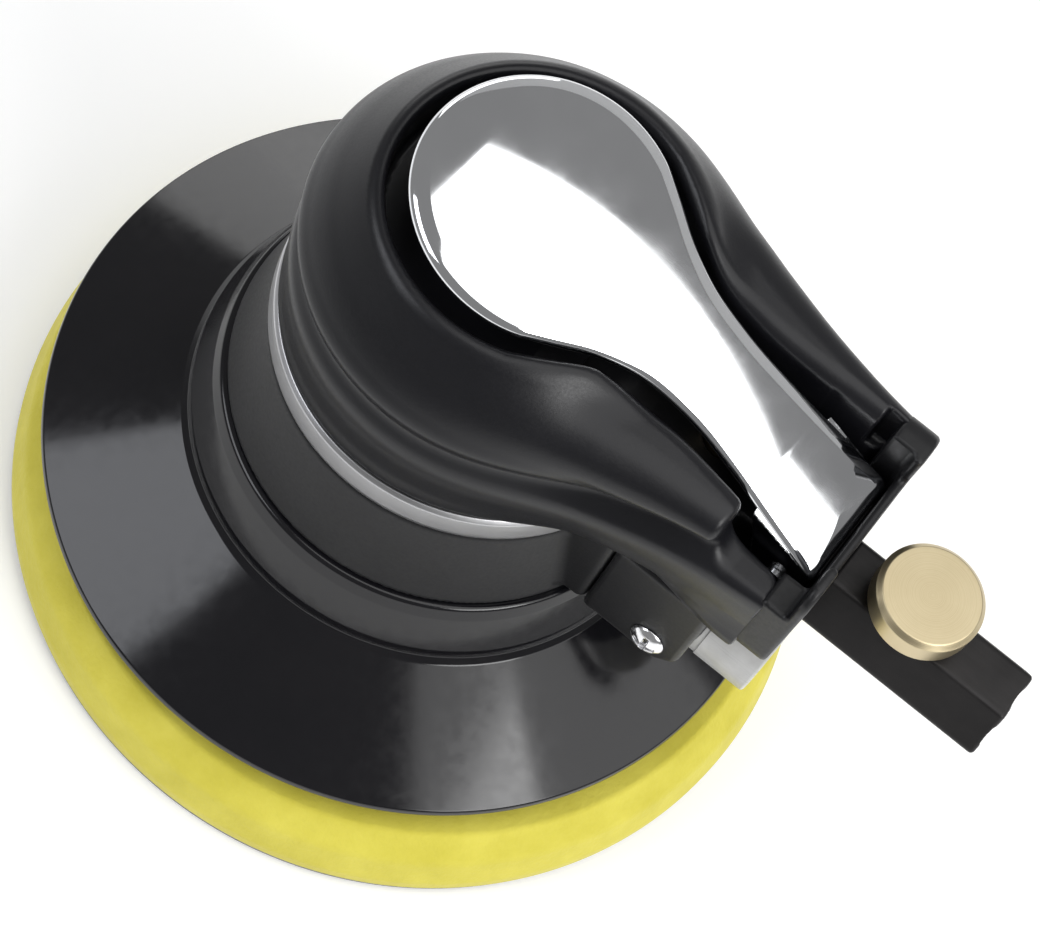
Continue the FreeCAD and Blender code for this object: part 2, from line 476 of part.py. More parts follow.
def grip_cover(envelope):
    """Rubber grip over the head and handle, open on top for the lever.

    The opening follows the lever's outline with a finger of play and steps down towards the hinge.
    The near side is scooped out beside the hinge pin; the far side keeps its wall, with a pocket for the pin.
    """
    head = revolved("grip_head", [
        ("0", "dims.grip_low_z"), ("dims.grip_low_radius", "dims.grip_low_z"),
        ("dims.band_radius - 0.3", "dims.band_z - 8"), ("dims.band_radius", "dims.band_z"),
        ("dims.groove_radius", "dims.groove_z"), ("dims.band_radius - 0.2", "dims.groove_z + 3"),
        ("dims.band_radius - 1.6", "dims.groove_z + 5.6"), ("dims.rim_radius + 4.2", "dims.rim_z - 5.8"),
        ("dims.rim_radius + 2", "dims.rim_z - 2.8"), ("dims.rim_radius", "dims.rim_z"), ("0", "dims.rim_z")])
    handle = doc.addObject("PartDesign::Body", "grip_handle")
    sections = []
    for i, (x, half, top, low, corner) in enumerate((
            ("6", "26.4", "94.6", "64.2", "7"), ("22", "24", "92.5", "64.2", "5"),
            ("38", "20.2", "90.8", "64.6", "4"), ("dims.grip_rear_x", "18.2", "89.8", "65.2", "3.5"))):
        right = [(half, f"{low} + {corner}"), (half, f"{top} - {corner}"),
                 (f"{half} - {corner}", top)]
        points = [(f"{half} - {corner}", low)] + right
        points += [(f"-({y})", z) for y, z in reversed(points)]
        sections.append(outline(handle, f"grip_section_{i}", "YZ_Plane", points, x))
    loft = handle.newObject("PartDesign::AdditiveLoft", "grip_loft")
    loft.Profile = sections[0]
    loft.Sections = sections[1:]
    loft.Ruled = True
    floor, rear = value("dims.recess_floor_z"), value("dims.lever_rear_x") + 5
    column = lever_plan(value("dims.lever_gap"), 60).extrude(FreeCAD.Vector(0, 0, 60))
    room = Part.Face(Part.makePolygon([
        FreeCAD.Vector(x, -30, z) for x, z in ((-30, 110), (-30, floor), (10, floor), (22, 83), (43.5, 79),
                                               (43.5, 69.5), (rear, 69.5), (rear, 110), (-30, 110))]))
    opening = doc.addObject("Part::Feature", "lever_opening")
    opening.Shape = column.common(room.extrude(FreeCAD.Vector(0, 60, 0)))
    tail_room = block("tail_room", ("43.5", "60"), ("-dims.channel_half", "dims.channel_half"), ("69.5", "110"))
    scoop = side_block("scoop_side", [
        ("44", "110"), ("44", "86"), ("46", "83"), ("50", "dims.scoop_z"), ("60", "dims.scoop_z"),
        ("60", "110")], "30")
    near_scoop = cut("near_scoop", scoop, block("far_half", ("40", "62"), ("0", "40"), ("60", "120")))
    far_slot = block("far_slot", ("50.9", "60"), ("10", "15.2"), ("dims.scoop_z", "110"))
    node("grip_cover", cut("grip_cut", fused("grip_blank", head, handle), envelope, opening, tail_room, near_scoop,
                           far_slot))


def lever():
    """Spoon-shaped throttle lever pressed from thick sheet, with two ears for the pin."""
    def crown(x):
        return 100.6 - 0.124 * x - 0.00377 * x * x if x < 44 else 87.85 - 0.43 * (x - 44)
    rear, thick = value("dims.lever_rear_x"), value("dims.lever_thick")
    prism = lever_plan(0, 70).extrude(FreeCAD.Vector(0, 0, 40))
    stations = [-30 + 10 * i for i in range(10)]
    top = Part.BSplineCurve()
    top.interpolate([FreeCAD.Vector(x, -30, crown(x)) for x in stations])
    under = Part.BSplineCurve()
    under.interpolate([FreeCAD.Vector(x, -30, crown(x) - thick) for x in reversed(stations)])
    ends = [Part.LineSegment(top.EndPoint, under.StartPoint).toShape(),
            Part.LineSegment(under.EndPoint, top.StartPoint).toShape()]
    strip = Part.Face(Part.Wire([top.toShape(), ends[0], under.toShape(), ends[1]])).extrude(FreeCAD.Vector(0, 60, 0))
    spoon = prism.common(strip)
    pin_x, pin_z, wall = value("dims.pin_x"), value("dims.pin_z"), value("dims.ear_thick")
    ears = []
    for side in (-1, 1):
        inner = side * 8.0 if side > 0 else side * 8.0 - wall
        cheek = Part.Face(Part.makePolygon([
            FreeCAD.Vector(45, inner, crown(45) - 1), FreeCAD.Vector(rear, inner, crown(rear) - 1),
            FreeCAD.Vector(pin_x + 4, inner, pin_z - 3), FreeCAD.Vector(pin_x - 3, inner, pin_z - 4),
            FreeCAD.Vector(45, inner, crown(45) - 1)])).extrude(FreeCAD.Vector(0, wall, 0))
        ears.append(cheek)
    bore = Part.makeCylinder(value("dims.pin_radius + dims.pin_gap"), 60, FreeCAD.Vector(pin_x, -30, pin_z), SIDE)
    lever_part = doc.addObject("Part::Feature", "lever_press")
    lever_part.Shape = spoon.fuse(ears).cut(bore).removeSplitter()
    node("throttle_lever", lever_part)
    node("lever_pin", cylinder("lever_pin_bar", "dims.pin_radius", "-10.4", "10.4", "dims.pin_x", "dims.pin_z", SIDE))


def throttle_valve():
    """Upright poppet valve: stem, seat, disc, spring and the plug below it."""
    stem = revolved("stem_body", [
        ("0", "dims.stem_low_z"), ("1.6", "dims.stem_low_z"), ("1.6", "75.2"), ("dims.stem_radius", "76.4"),
        ("dims.stem_radius", "dims.stem_top_z - 2.6"), ("2.2", "dims.stem_top_z - 0.9"),
        ("1", "dims.stem_top_z - 0.2"), ("0", "dims.stem_top_z - 0.2")])
    bind(stem, "Placement.Base.x", "dims.valve_x")
    node("valve_stem", stem)
    node("valve_seat", tube("seat_ring", "dims.valve_chamber_radius", "dims.seat_bore", "dims.seat_z",
                            "dims.seat_z + dims.seat_tall", "dims.valve_x"))
    disc = cylinder("valve_disc_plate", "dims.disc_radius", "dims.seat_z - dims.disc_thick", "dims.seat_z", "dims.valve_x")
    spigot = cylinder("valve_disc_spigot", "1.8", "dims.seat_z - dims.disc_thick - 2", "dims.seat_z", "dims.valve_x")
    node("valve_disc", fused("valve_disc_whole", disc, spigot))
    low, high = value("dims.plug_top_z"), value("dims.seat_z - dims.disc_thick")
    wire_radius, turns, coil = 0.45, 4, 3.4
    pitch = (high - low - 2.4 * wire_radius) / turns
    path = Part.makeHelix(pitch, pitch * turns, coil)
    section = Part.Wire([Part.makeCircle(wire_radius, FreeCAD.Vector(coil, 0, 0), SIDE)])
    coil_solid = Part.Wire(path.Edges).makePipeShell([section], True, True)
    spring = doc.addObject("Part::Feature", "spring_coil")
    spring.Shape = coil_solid
    spring.Placement = FreeCAD.Placement(FreeCAD.Vector(value("dims.valve_x"), 0, low + 1.2 * wire_radius),
                                         FreeCAD.Rotation())
    node("valve_spring", spring)
    node("valve_plug", cylinder("plug_disc", "dims.valve_chamber_radius", "dims.plug_low_z", "dims.plug_top_z",
                                "dims.valve_x"))


def inlet_and_regulator():
    """Hexagonal inlet bar with a cross-drilled spool that its brass knob turns."""
    body = doc.addObject("PartDesign::Body", "inlet_hex")
    half = "dims.inlet_flats / 2"
    reach = f"{half} / {math.cos(math.pi / 6)}"
    ring = [(f"{reach} * {math.cos(math.radians(60 * i))}",
             f"dims.inlet_z + {reach} * {math.sin(math.radians(60 * i))}") for i in range(6)]
    sketch = outline(body, "hex_section", "YZ_Plane", ring, "dims.handle_rear_x")
    pad = body.newObject("PartDesign::Pad", "hex_bar")
    pad.Profile = sketch
    bind(pad, "Length", "dims.inlet_rear_x - dims.handle_rear_x")
    thread = cylinder("inlet_spigot", "dims.inlet_thread_radius", "dims.inlet_front_x", "dims.handle_rear_x + 1",
                      "0", "dims.inlet_z", BACK)
    bore = cylinder("inlet_bore", "dims.inlet_bore_radius", "dims.inlet_rear_x - dims.inlet_bore_deep", "100",
                    "0", "dims.inlet_z", BACK)
    way = cylinder("inlet_air_way", "dims.air_way_radius", "40", "100", "0", "dims.inlet_z", BACK)
    well = cylinder("spool_well", "dims.spool_radius + 0.05", "dims.spool_low_z", "90", "dims.knob_x")
    node("inlet_bar", cut("inlet_cut", fused("inlet_blank", body, thread), bore, way, well))
    cross = cylinder("spool_way", "2.4", "dims.knob_x - 8", "dims.knob_x + 8", "0", "dims.inlet_z", BACK)
    waist = torus("spool_groove", "dims.spool_radius + 0.1", "0.6", "dims.inlet_z + 4.9", "dims.knob_x")
    spool = cylinder("spool_bar", "dims.spool_radius", "dims.spool_low_z + 0.3", "dims.knob_low_z + 2", "dims.knob_x")
    node("regulator_spool", cut("spool_cut", spool, cross, waist))
    node("regulator_o_ring", torus("spool_seal", "dims.spool_radius - 0.1", "0.12", "dims.inlet_z + 4.9", "dims.knob_x"))
    knob = revolved("knob_body", [
        ("0", "dims.knob_low_z"), ("dims.knob_radius - 0.5", "dims.knob_low_z"),
        ("dims.knob_radius", "dims.knob_low_z + 0.5"), ("dims.knob_radius", "dims.knob_top_z - 0.7"),
        ("dims.knob_radius - 0.7", "dims.knob_top_z"), ("0", "dims.knob_top_z")])
    bind(knob, "Placement.Base.x", "dims.knob_x")
    socket = cylinder("knob_socket", "dims.spool_radius", "dims.knob_low_z - 1", "dims.knob_low_z + 2", "dims.knob_x")
    node("regulator_knob", cut("knob_cut", knob, socket))


def exhaust():
    """Exhaust block under the handle, its two screws, and the muffler tube with its filter."""
    saddle_block = side_block("exhaust_shape", [
        ("dims.duct_rear_x", "dims.duct_low_z"), ("dims.exhaust_rear_x - 3", "dims.duct_low_z"),
        ("dims.exhaust_rear_x", "dims.duct_low_z + 3"), ("dims.exhaust_rear_x", "dims.exhaust_top_z"),
        ("dims.duct_rear_x", "dims.exhaust_top_z")], "dims.duct_half")
    boss = cylinder("tube_boss", "dims.tube_boss_radius", "dims.tube_boss_x", "dims.exhaust_rear_x", "0",
                    "dims.tube_z", BACK)
    shape = fused("exhaust_blank", saddle_block, boss)
    saddle = block("boss_saddle", ("dims.duct_rear_x - 1", "dims.exhaust_rear_x + 1"),
                   ("-dims.saddle_half", "dims.saddle_half"), ("dims.saddle_z", "dims.exhaust_top_z + 1"))
    way = block("exhaust_entry", ("dims.duct_rear_x - 1", "dims.tube_front_x"), ("-10", "10"), ("46", "54"))
    bore = cylinder("tube_seat", "dims.tube_seat_radius", "dims.tube_front_x", "70", "0", "dims.tube_z", BACK)
    screw_parts, holes = [], []
    for side, name in ((-1, "near"), (1, "far")):
        face = f"{side} * dims.duct_half"
        holes.append(cylinder(f"{name}_screw_hole", "1.5", "-20" if side < 0 else "10.2", "-10.2" if side < 0 else "20",
                              "dims.exhaust_screw_x", "dims.exhaust_screw_z", SIDE))
        low, high = (f"{face} - 1.6", face) if side < 0 else (face, f"{face} + 1.6")
        head = cylinder(f"{name}_screw_head", "2.9", low, high, "dims.exhaust_screw_x", "dims.exhaust_screw_z", SIDE)
        low, high = ("-15", "-10.6") if side < 0 else ("10.6", "15")
        shank = cylinder(f"{name}_screw_shank", "1.5", low, high, "dims.exhaust_screw_x", "dims.exhaust_screw_z", SIDE)
        recess = [block(f"{name}_cross_{i}", (f"dims.exhaust_screw_x - {long}", f"dims.exhaust_screw_x + {long}"),
                        (f"{face} + {side * 0.8} - 0.8", f"{face} + {side * 1.4} + 0.8"),
                        (f"dims.exhaust_screw_z - {tall}", f"dims.exhaust_screw_z + {tall}"))
                  for i, (long, tall) in enumerate(((1.6, 0.35), (0.35, 1.6)))]
        screw_parts.append(cut(f"{name}_screw", fused(f"{name}_screw_blank", head, shank), *recess))
    node("exhaust_block", cut("exhaust_cut", shape, way, bore, saddle, *holes))
    node("exhaust_screws", group("exhaust_screw_pair", screw_parts))
    bar = fused("tube_blank", cylinder("tube_spigot", "dims.tube_seat_radius", "dims.tube_front_x",
                                       "dims.tube_step_x", "0", "dims.tube_z", BACK),
                cylinder("tube_bar", "dims.tube_radius", "dims.tube_step_x", "dims.tube_rear_x", "0",
                         "dims.tube_z", BACK))
    pipe = cut("tube_open", bar,
               cylinder("tube_inside", "dims.tube_bore", "30", "80", "0", "dims.tube_z", BACK))
    node("exhaust_tube", pipe)
    node("muffler_felt", cylinder("felt_plug", "dims.tube_bore", "dims.tube_front_x + 1", "dims.tube_rear_x - 8", "0",
                                  "dims.tube_z", BACK))


pad_assembly()
spindle_assembly()
balancer_assembly()
motor_assembly()
outside = housing_envelope()
housing(outside)
skirt()
grip_cover(outside)
lever()
throttle_valve()
inlet_and_regulator()
exhaust()
doc.recompute()

for thing in doc.Objects:
    if "Invalid" in thing.State or "Error" in thing.State:
        raise RuntimeError(f"{thing.Name} did not recompute: {thing.State}")
os.makedirs("parts", exist_ok=True)
for name, thing in nodes.items():
    shape = thing.Shape
    if shape.isNull() or not shape.isValid() or not shape.Solids:
        raise RuntimeError(f"{name} is not a valid solid")
    print(f"{name}: {len(shape.Solids)} solid(s), {shape.Volume:.0f} mm3, {shape.BoundBox}")
    shape.exportStep(f"parts/{name}.step")
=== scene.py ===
"""Looks of a palm-grip orbital sander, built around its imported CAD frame.

Sizes are millimetres in the CAD axes and are scaled to metres when a mesh is made.
"""

import json
import math

import bmesh
import bpy
import numpy as np
from mathutils import Matrix, Vector


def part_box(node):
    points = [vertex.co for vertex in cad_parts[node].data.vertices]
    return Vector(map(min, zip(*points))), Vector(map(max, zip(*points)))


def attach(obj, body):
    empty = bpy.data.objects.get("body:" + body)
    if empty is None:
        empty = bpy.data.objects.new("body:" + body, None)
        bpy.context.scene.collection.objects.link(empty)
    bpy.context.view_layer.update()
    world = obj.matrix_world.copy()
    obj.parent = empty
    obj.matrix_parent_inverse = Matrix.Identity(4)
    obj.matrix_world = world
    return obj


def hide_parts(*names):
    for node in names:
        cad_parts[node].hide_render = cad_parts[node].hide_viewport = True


MM = 0.001
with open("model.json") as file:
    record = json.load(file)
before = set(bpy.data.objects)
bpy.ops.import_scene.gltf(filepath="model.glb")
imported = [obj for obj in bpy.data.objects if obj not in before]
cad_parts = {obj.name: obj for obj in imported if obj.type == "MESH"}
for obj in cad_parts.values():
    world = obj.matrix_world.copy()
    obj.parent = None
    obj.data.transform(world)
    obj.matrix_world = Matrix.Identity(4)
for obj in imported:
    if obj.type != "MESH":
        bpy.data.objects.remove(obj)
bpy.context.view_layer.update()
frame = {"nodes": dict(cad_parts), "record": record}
nodes = frame["nodes"]


def size_of(node):
    """Lowest and highest corner of a CAD node, in millimetres."""
    low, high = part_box(node)
    return np.array(low) / MM, np.array(high) / MM


# ---------------------------------------------------------------- places taken from the frame
foam_low, foam_high = size_of("pad_foam")
hook_low, hook_high = size_of("hook_face")
skirt_low, skirt_high = size_of("skirt")
ring_low, ring_high = size_of("trim_ring")
_, grip_high = size_of("grip_cover")
_, lever_high = size_of("throttle_lever")
knob_low, knob_high = size_of("regulator_knob")
bar_low, bar_high = size_of("inlet_bar")
_, block_high = size_of("exhaust_block")
tube_low, tube_high = size_of("exhaust_tube")
screw_low, screw_high = size_of("exhaust_screws")
stem_low, stem_high = size_of("valve_stem")
pin_low, pin_high = size_of("lever_pin")
ORBIT = (foam_low[0] + foam_high[0]) / 2
INLET_Z = (bar_low[2] + bar_high[2]) / 2
FLAT = (bar_high[2] - bar_low[2]) / 2
VALVE_X = (stem_low[0] + stem_high[0]) / 2
PIN_X = (pin_low[0] + pin_high[0]) / 2
PIN_Z = (pin_low[2] + pin_high[2]) / 2
KNOB_X = (knob_low[0] + knob_high[0]) / 2
TUBE_Z = (tube_low[2] + tube_high[2]) / 2
SCREW_X = (screw_low[0] + screw_high[0]) / 2
SCREW_Z = (screw_low[2] + screw_high[2]) / 2


# ---------------------------------------------------------------- mesh helpers
ON_AXIS = 1e-6        # a lathe point nearer than this to its axis faces straight along it
NUDGE = 0.05          # step for the slope of a distance function
PULLS = 3             # times a net's vertices are pulled onto the surface
HALF_ROOT = 0.7071    # scales a 45 degree slope back to a true distance


def add_mesh(name, vertices, faces, normals=None):
    """Object from millimetre vertices; normals, if given, are one per vertex."""
    mesh = bpy.data.meshes.new(name)
    mesh.from_pydata((np.asarray(vertices) * MM).tolist(), [], faces)
    mesh.validate()
    mesh.shade_smooth()
    if normals is not None:
        mesh.normals_split_custom_set_from_vertices(np.asarray(normals).tolist())
    piece = bpy.data.objects.new(name, mesh)
    bpy.context.scene.collection.objects.link(piece)
    return piece


def rounded_path(corners, steps):
    """Closed polyline through (u, v, radius) corners with each corner rounded to its radius."""
    points = []
    count = len(corners)
    for i, (u, v, radius) in enumerate(corners):
        here = np.array((u, v), float)
        if radius <= 0:
            points.append(here)
            continue
        before = np.array(corners[i - 1][:2], float) - here
        after = np.array(corners[(i + 1) % count][:2], float) - here
        a, b = np.linalg.norm(before), np.linalg.norm(after)
        before, after = before / a, after / b
        half = math.acos(float(np.clip(before @ after, -1, 1))) / 2
        if half > 1.53:
            points.append(here)
            continue
        reach = min(radius / math.tan(half), 0.49 * a, 0.49 * b)
        round_radius = reach * math.tan(half)
        middle = before + after
        centre = here + middle / np.linalg.norm(middle) * round_radius / math.sin(half)
        start, end = here + before * reach - centre, here + after * reach - centre
        turn = math.atan2(start[0] * end[1] - start[1] * end[0], start @ end)
        for step in range(steps + 1):
            angle = turn * step / steps
            c, s = math.cos(angle), math.sin(angle)
            points.append(centre + np.array((c * start[0] - s * start[1], s * start[0] + c * start[1])))
    return np.array(points)


def path_normals(path):
    """Normals to the right of a closed path, weighted by the length of the legs beside each point."""
    legs = np.roll(path, -1, 0) - path
    sides = np.stack([legs[:, 1], -legs[:, 0]], 1)
    total = sides + np.roll(sides, 1, 0)
    return total / np.maximum(np.linalg.norm(total, axis=1), 1e-9)[:, None]


def lathe(name, corners, origin=(0, 0, 0), axis="z", segments=240, arc=None, steps=6):
    """Closed (radius, height, rounding) outline turned about an axis, fully or over an arc in degrees."""
    path = rounded_path(corners, steps)
    normals = path_normals(path)
    area = np.sum(path[:, 0] * np.roll(path[:, 1], -1) - np.roll(path[:, 0], -1) * path[:, 1])
    if area < 0:
        path, normals = path[::-1], -normals[::-1]
    on_axis = path[:, 0] < ON_AXIS
    normals[on_axis] = np.stack([path[on_axis, 0], np.sign(path[on_axis, 1] - path[:, 1].mean())], 1)
    around = len(path)
    full = arc is None
    first, last = (0.0, 360.0) if full else arc
    count = segments if full else segments + 1
    angles = np.radians(first + (last - first) * np.arange(count) / segments)
    radius, height = path[:, 0], path[:, 1]
    cosine, sine = np.cos(angles)[:, None], np.sin(angles)[:, None]
    points = np.stack([radius * cosine, radius * sine, height + 0 * cosine], 2).reshape(-1, 3)
    facing = np.stack([normals[:, 0] * cosine, normals[:, 0] * sine, normals[:, 1] + 0 * cosine], 2)
    facing = facing.reshape(-1, 3)
    faces = []
    for i in range(segments):
        here, there = i * around, ((i + 1) % count) * around
        for j in range(around):
            k = (j + 1) % around
            faces.append((here + j, there + j, there + k, here + k))
    if not full:
        faces.append(tuple(reversed(range(around))))
        faces.append(tuple((count - 1) * around + j for j in range(around)))
    swap = {"z": (0, 1, 2), "x": (2, 0, 1)}[axis]
    points, facing = points[:, swap], facing[:, swap]
    return add_mesh(name, points + np.array(origin), faces, facing if full else None)


def surface_net(name, distance, low, high, step):
    """Mesh of the zero surface of a distance function, with its vertices pulled onto the surface."""
    axes = [np.arange(a - 1.6 * step, b + 2.6 * step, step) for a, b in zip(low, high)]
    grid = np.meshgrid(*axes, indexing="ij")
    field = distance(*grid)
    cells = tuple(n - 1 for n in field.shape)
    inside = field < 0

    def corner(values, offset):
        return values[tuple(slice(o, o + n) for o, n in zip(offset, cells))]

    offsets = [(i, j, k) for i in (0, 1) for j in (0, 1) for k in (0, 1)]
    filled = sum(corner(inside, o).astype(np.int8) for o in offsets)
    mixed = (filled > 0) & (filled < 8)
    where = np.argwhere(mixed)
    number = np.full(cells, -1)
    number[mixed] = np.arange(len(where))
    total, hits = np.zeros((len(where), 3)), np.zeros(len(where))
    for a in offsets:
        for letter in range(3):
            if a[letter]:
                continue
            b = tuple(v + (i == letter) for i, v in enumerate(a))
            value_a, value_b = corner(field, a)[mixed], corner(field, b)[mixed]
            crossed = (value_a < 0) != (value_b < 0)
            share = np.where(crossed, value_a / np.where(crossed, value_a - value_b, 1), 0)
            place = np.array(a, float)[None] + np.zeros((len(where), 3))
            place[:, letter] += share
            total += place * crossed[:, None]
            hits += crossed
    origin = np.array([axis[0] for axis in axes])
    points = origin + (where + total / hits[:, None]) * step
    faces = []
    for letter in range(3):
        one, two = [i for i in range(3) if i != letter]
        cut = [slice(1, -1)] * 3
        cut[letter] = slice(0, -1)
        ahead = list(cut)
        ahead[letter] = slice(1, None)
        a, b = inside[tuple(cut)], inside[tuple(ahead)]
        start = np.array([1, 1, 1])
        start[letter] = 0
        for way, picked in ((1, a & ~b), (-1, ~a & b)):
            at = np.argwhere(picked) + start
            ring = []
            for back_one, back_two in ((0, 0), (1, 0), (1, 1), (0, 1)):
                cell = at.copy()
                cell[:, one] -= back_one
                cell[:, two] -= back_two
                ring.append(number[tuple(cell.T)])
            quads = np.stack(ring, 1)
            forward = (way > 0) != (letter == 1)
            faces.append(quads if forward else quads[:, ::-1])
    faces = np.concatenate(faces)

    def slope(at):
        parts = []
        for letter in range(3):
            shift = np.zeros(3)
            shift[letter] = NUDGE
            parts.append((distance(*(at + shift).T) - distance(*(at - shift).T)) / (2 * NUDGE))
        return np.stack(parts, 1)

    start_points = points.copy()
    for _ in range(PULLS):
        gradient = slope(points)
        strength = np.maximum((gradient ** 2).sum(1), 0.25)
        points = points - gradient * (distance(*points.T) / strength)[:, None]
        points = start_points + np.clip(points - start_points, -0.6 * step, 0.6 * step)
    gradient = slope(points)
    normals = gradient / np.maximum(np.linalg.norm(gradient, axis=1), 1e-9)[:, None]
    return add_mesh(name, points, faces.tolist(), normals)


# ---------------------------------------------------------------- distance-function helpers
def meet(a, b, radius):
    """Overlap of two solids, with the edge between them rounded."""
    reach = np.hypot(np.maximum(a + radius, 0), np.maximum(b + radius, 0))
    return np.minimum(-radius, np.maximum(a, b)) + reach


def join(a, b, radius):
    """Union of two solids, with a fillet where they meet."""
    return -meet(-a, -b, radius)


def carve(a, b, radius):
    """First solid less the second, with a rounded rim."""
    return meet(a, -b, radius)


def soft_join(a, b, width):
    """Union whose seam is blended over a width."""
    share = np.clip(0.5 + 0.5 * (b - a) / width, 0, 1)
    return b + (a - b) * share - width * share * (1 - share)


def slab(value, low, high):
    return np.abs(value - (low + high) / 2) - (high - low) / 2


def brick(x, y, z, bounds, radius):
    """Box with rounded edges; bounds are (low, high) pairs along x, y and z."""
    return meet(meet(slab(x, *bounds[0]), slab(y, *bounds[1]), radius), slab(z, *bounds[2]), radius)


def rod(a, b, radius):
    return np.hypot(a, b) - radius


def curve(x, knots):
    """Smooth curve through (x, y) knots, level beyond its ends."""
    at, heights = np.array(knots, float).T
    slopes = np.gradient(heights, at)
    x = np.clip(x, at[0], at[-1])
    i = np.clip(np.searchsorted(at, x) - 1, 0, len(at) - 2)
    width = at[i + 1] - at[i]
    t = (x - at[i]) / width
    return ((2 * t ** 3 - 3 * t ** 2 + 1) * heights[i] + (t ** 3 - 2 * t ** 2 + t) * width * slopes[i]
            + (3 * t ** 2 - 2 * t ** 3) * heights[i + 1] + (t ** 3 - t ** 2) * width * slopes[i + 1])


# ---------------------------------------------------------------- materials
def new_material(name):
    material = bpy.data.materials.new(name)
    material.use_nodes = True
    tree = material.node_tree
    shader = tree.nodes["Principled BSDF"]
    return material, tree, shader


def noise(tree, scale, detail, stretch=(1, 1, 1)):
    """Noise texture in object space, in cycles per metre, optionally stretched."""
    place = tree.nodes.new("ShaderNodeTexCoord")
    mapping = tree.nodes.new("ShaderNodeMapping")
    mapping.inputs["Scale"].default_value = stretch
    texture = tree.nodes.new("ShaderNodeTexNoise")
    texture.inputs["Scale"].default_value = scale
    texture.inputs["Detail"].default_value = detail
    texture.inputs["Roughness"].default_value = 0.55
    tree.links.new(place.outputs["Object"], mapping.inputs["Vector"])
    tree.links.new(mapping.outputs["Vector"], texture.inputs["Vector"])
    return texture.outputs["Fac"]


def ramp(tree, source, stops):
    """Colour ramp over (position, colour) stops; a number stands for a grey."""
    node = tree.nodes.new("ShaderNodeValToRGB")
    elements = node.color_ramp.elements
    while len(elements) < len(stops):
        elements.new(0.5)
    for element, (position, colour) in zip(elements, stops):
        element.position = position
        element.color = (*((colour,) * 3 if np.isscalar(colour) else colour), 1)
    tree.links.new(source, node.inputs["Fac"])
    return node.outputs["Color"]


def bump(tree, shader, source, depth):
    """Bump of a real depth in millimetres from a height source."""
    node = tree.nodes.new("ShaderNodeBump")
    node.inputs["Strength"].default_value = 1.0
    node.inputs["Distance"].default_value = depth * MM
    tree.links.new(source, node.inputs["Height"])
    tree.links.new(node.outputs["Normal"], shader.inputs["Normal"])


def surface(name, dark, light, roughness, metal=0.0, grain=900, depth=0.02, patch=60,
            stretch=(1, 1, 1), specular=0.5, sheen=0.0):
    """Material whose colour, roughness and bump all vary with layered noise."""
    material, tree, shader = new_material(name)
    broad = noise(tree, patch, 5.0)
    fine = noise(tree, grain, 3.0, stretch)
    tree.links.new(ramp(tree, broad, [(0.32, dark), (0.68, light)]), shader.inputs["Base Color"])
    low, high = roughness
    tree.links.new(ramp(tree, fine, [(0.3, low), (0.7, high)]), shader.inputs["Roughness"])
    shader.inputs["Metallic"].default_value = metal
    shader.inputs["Specular IOR Level"].default_value = specular
    shader.inputs["Sheen Weight"].default_value = sheen
    bump(tree, shader, fine, depth)
    return material


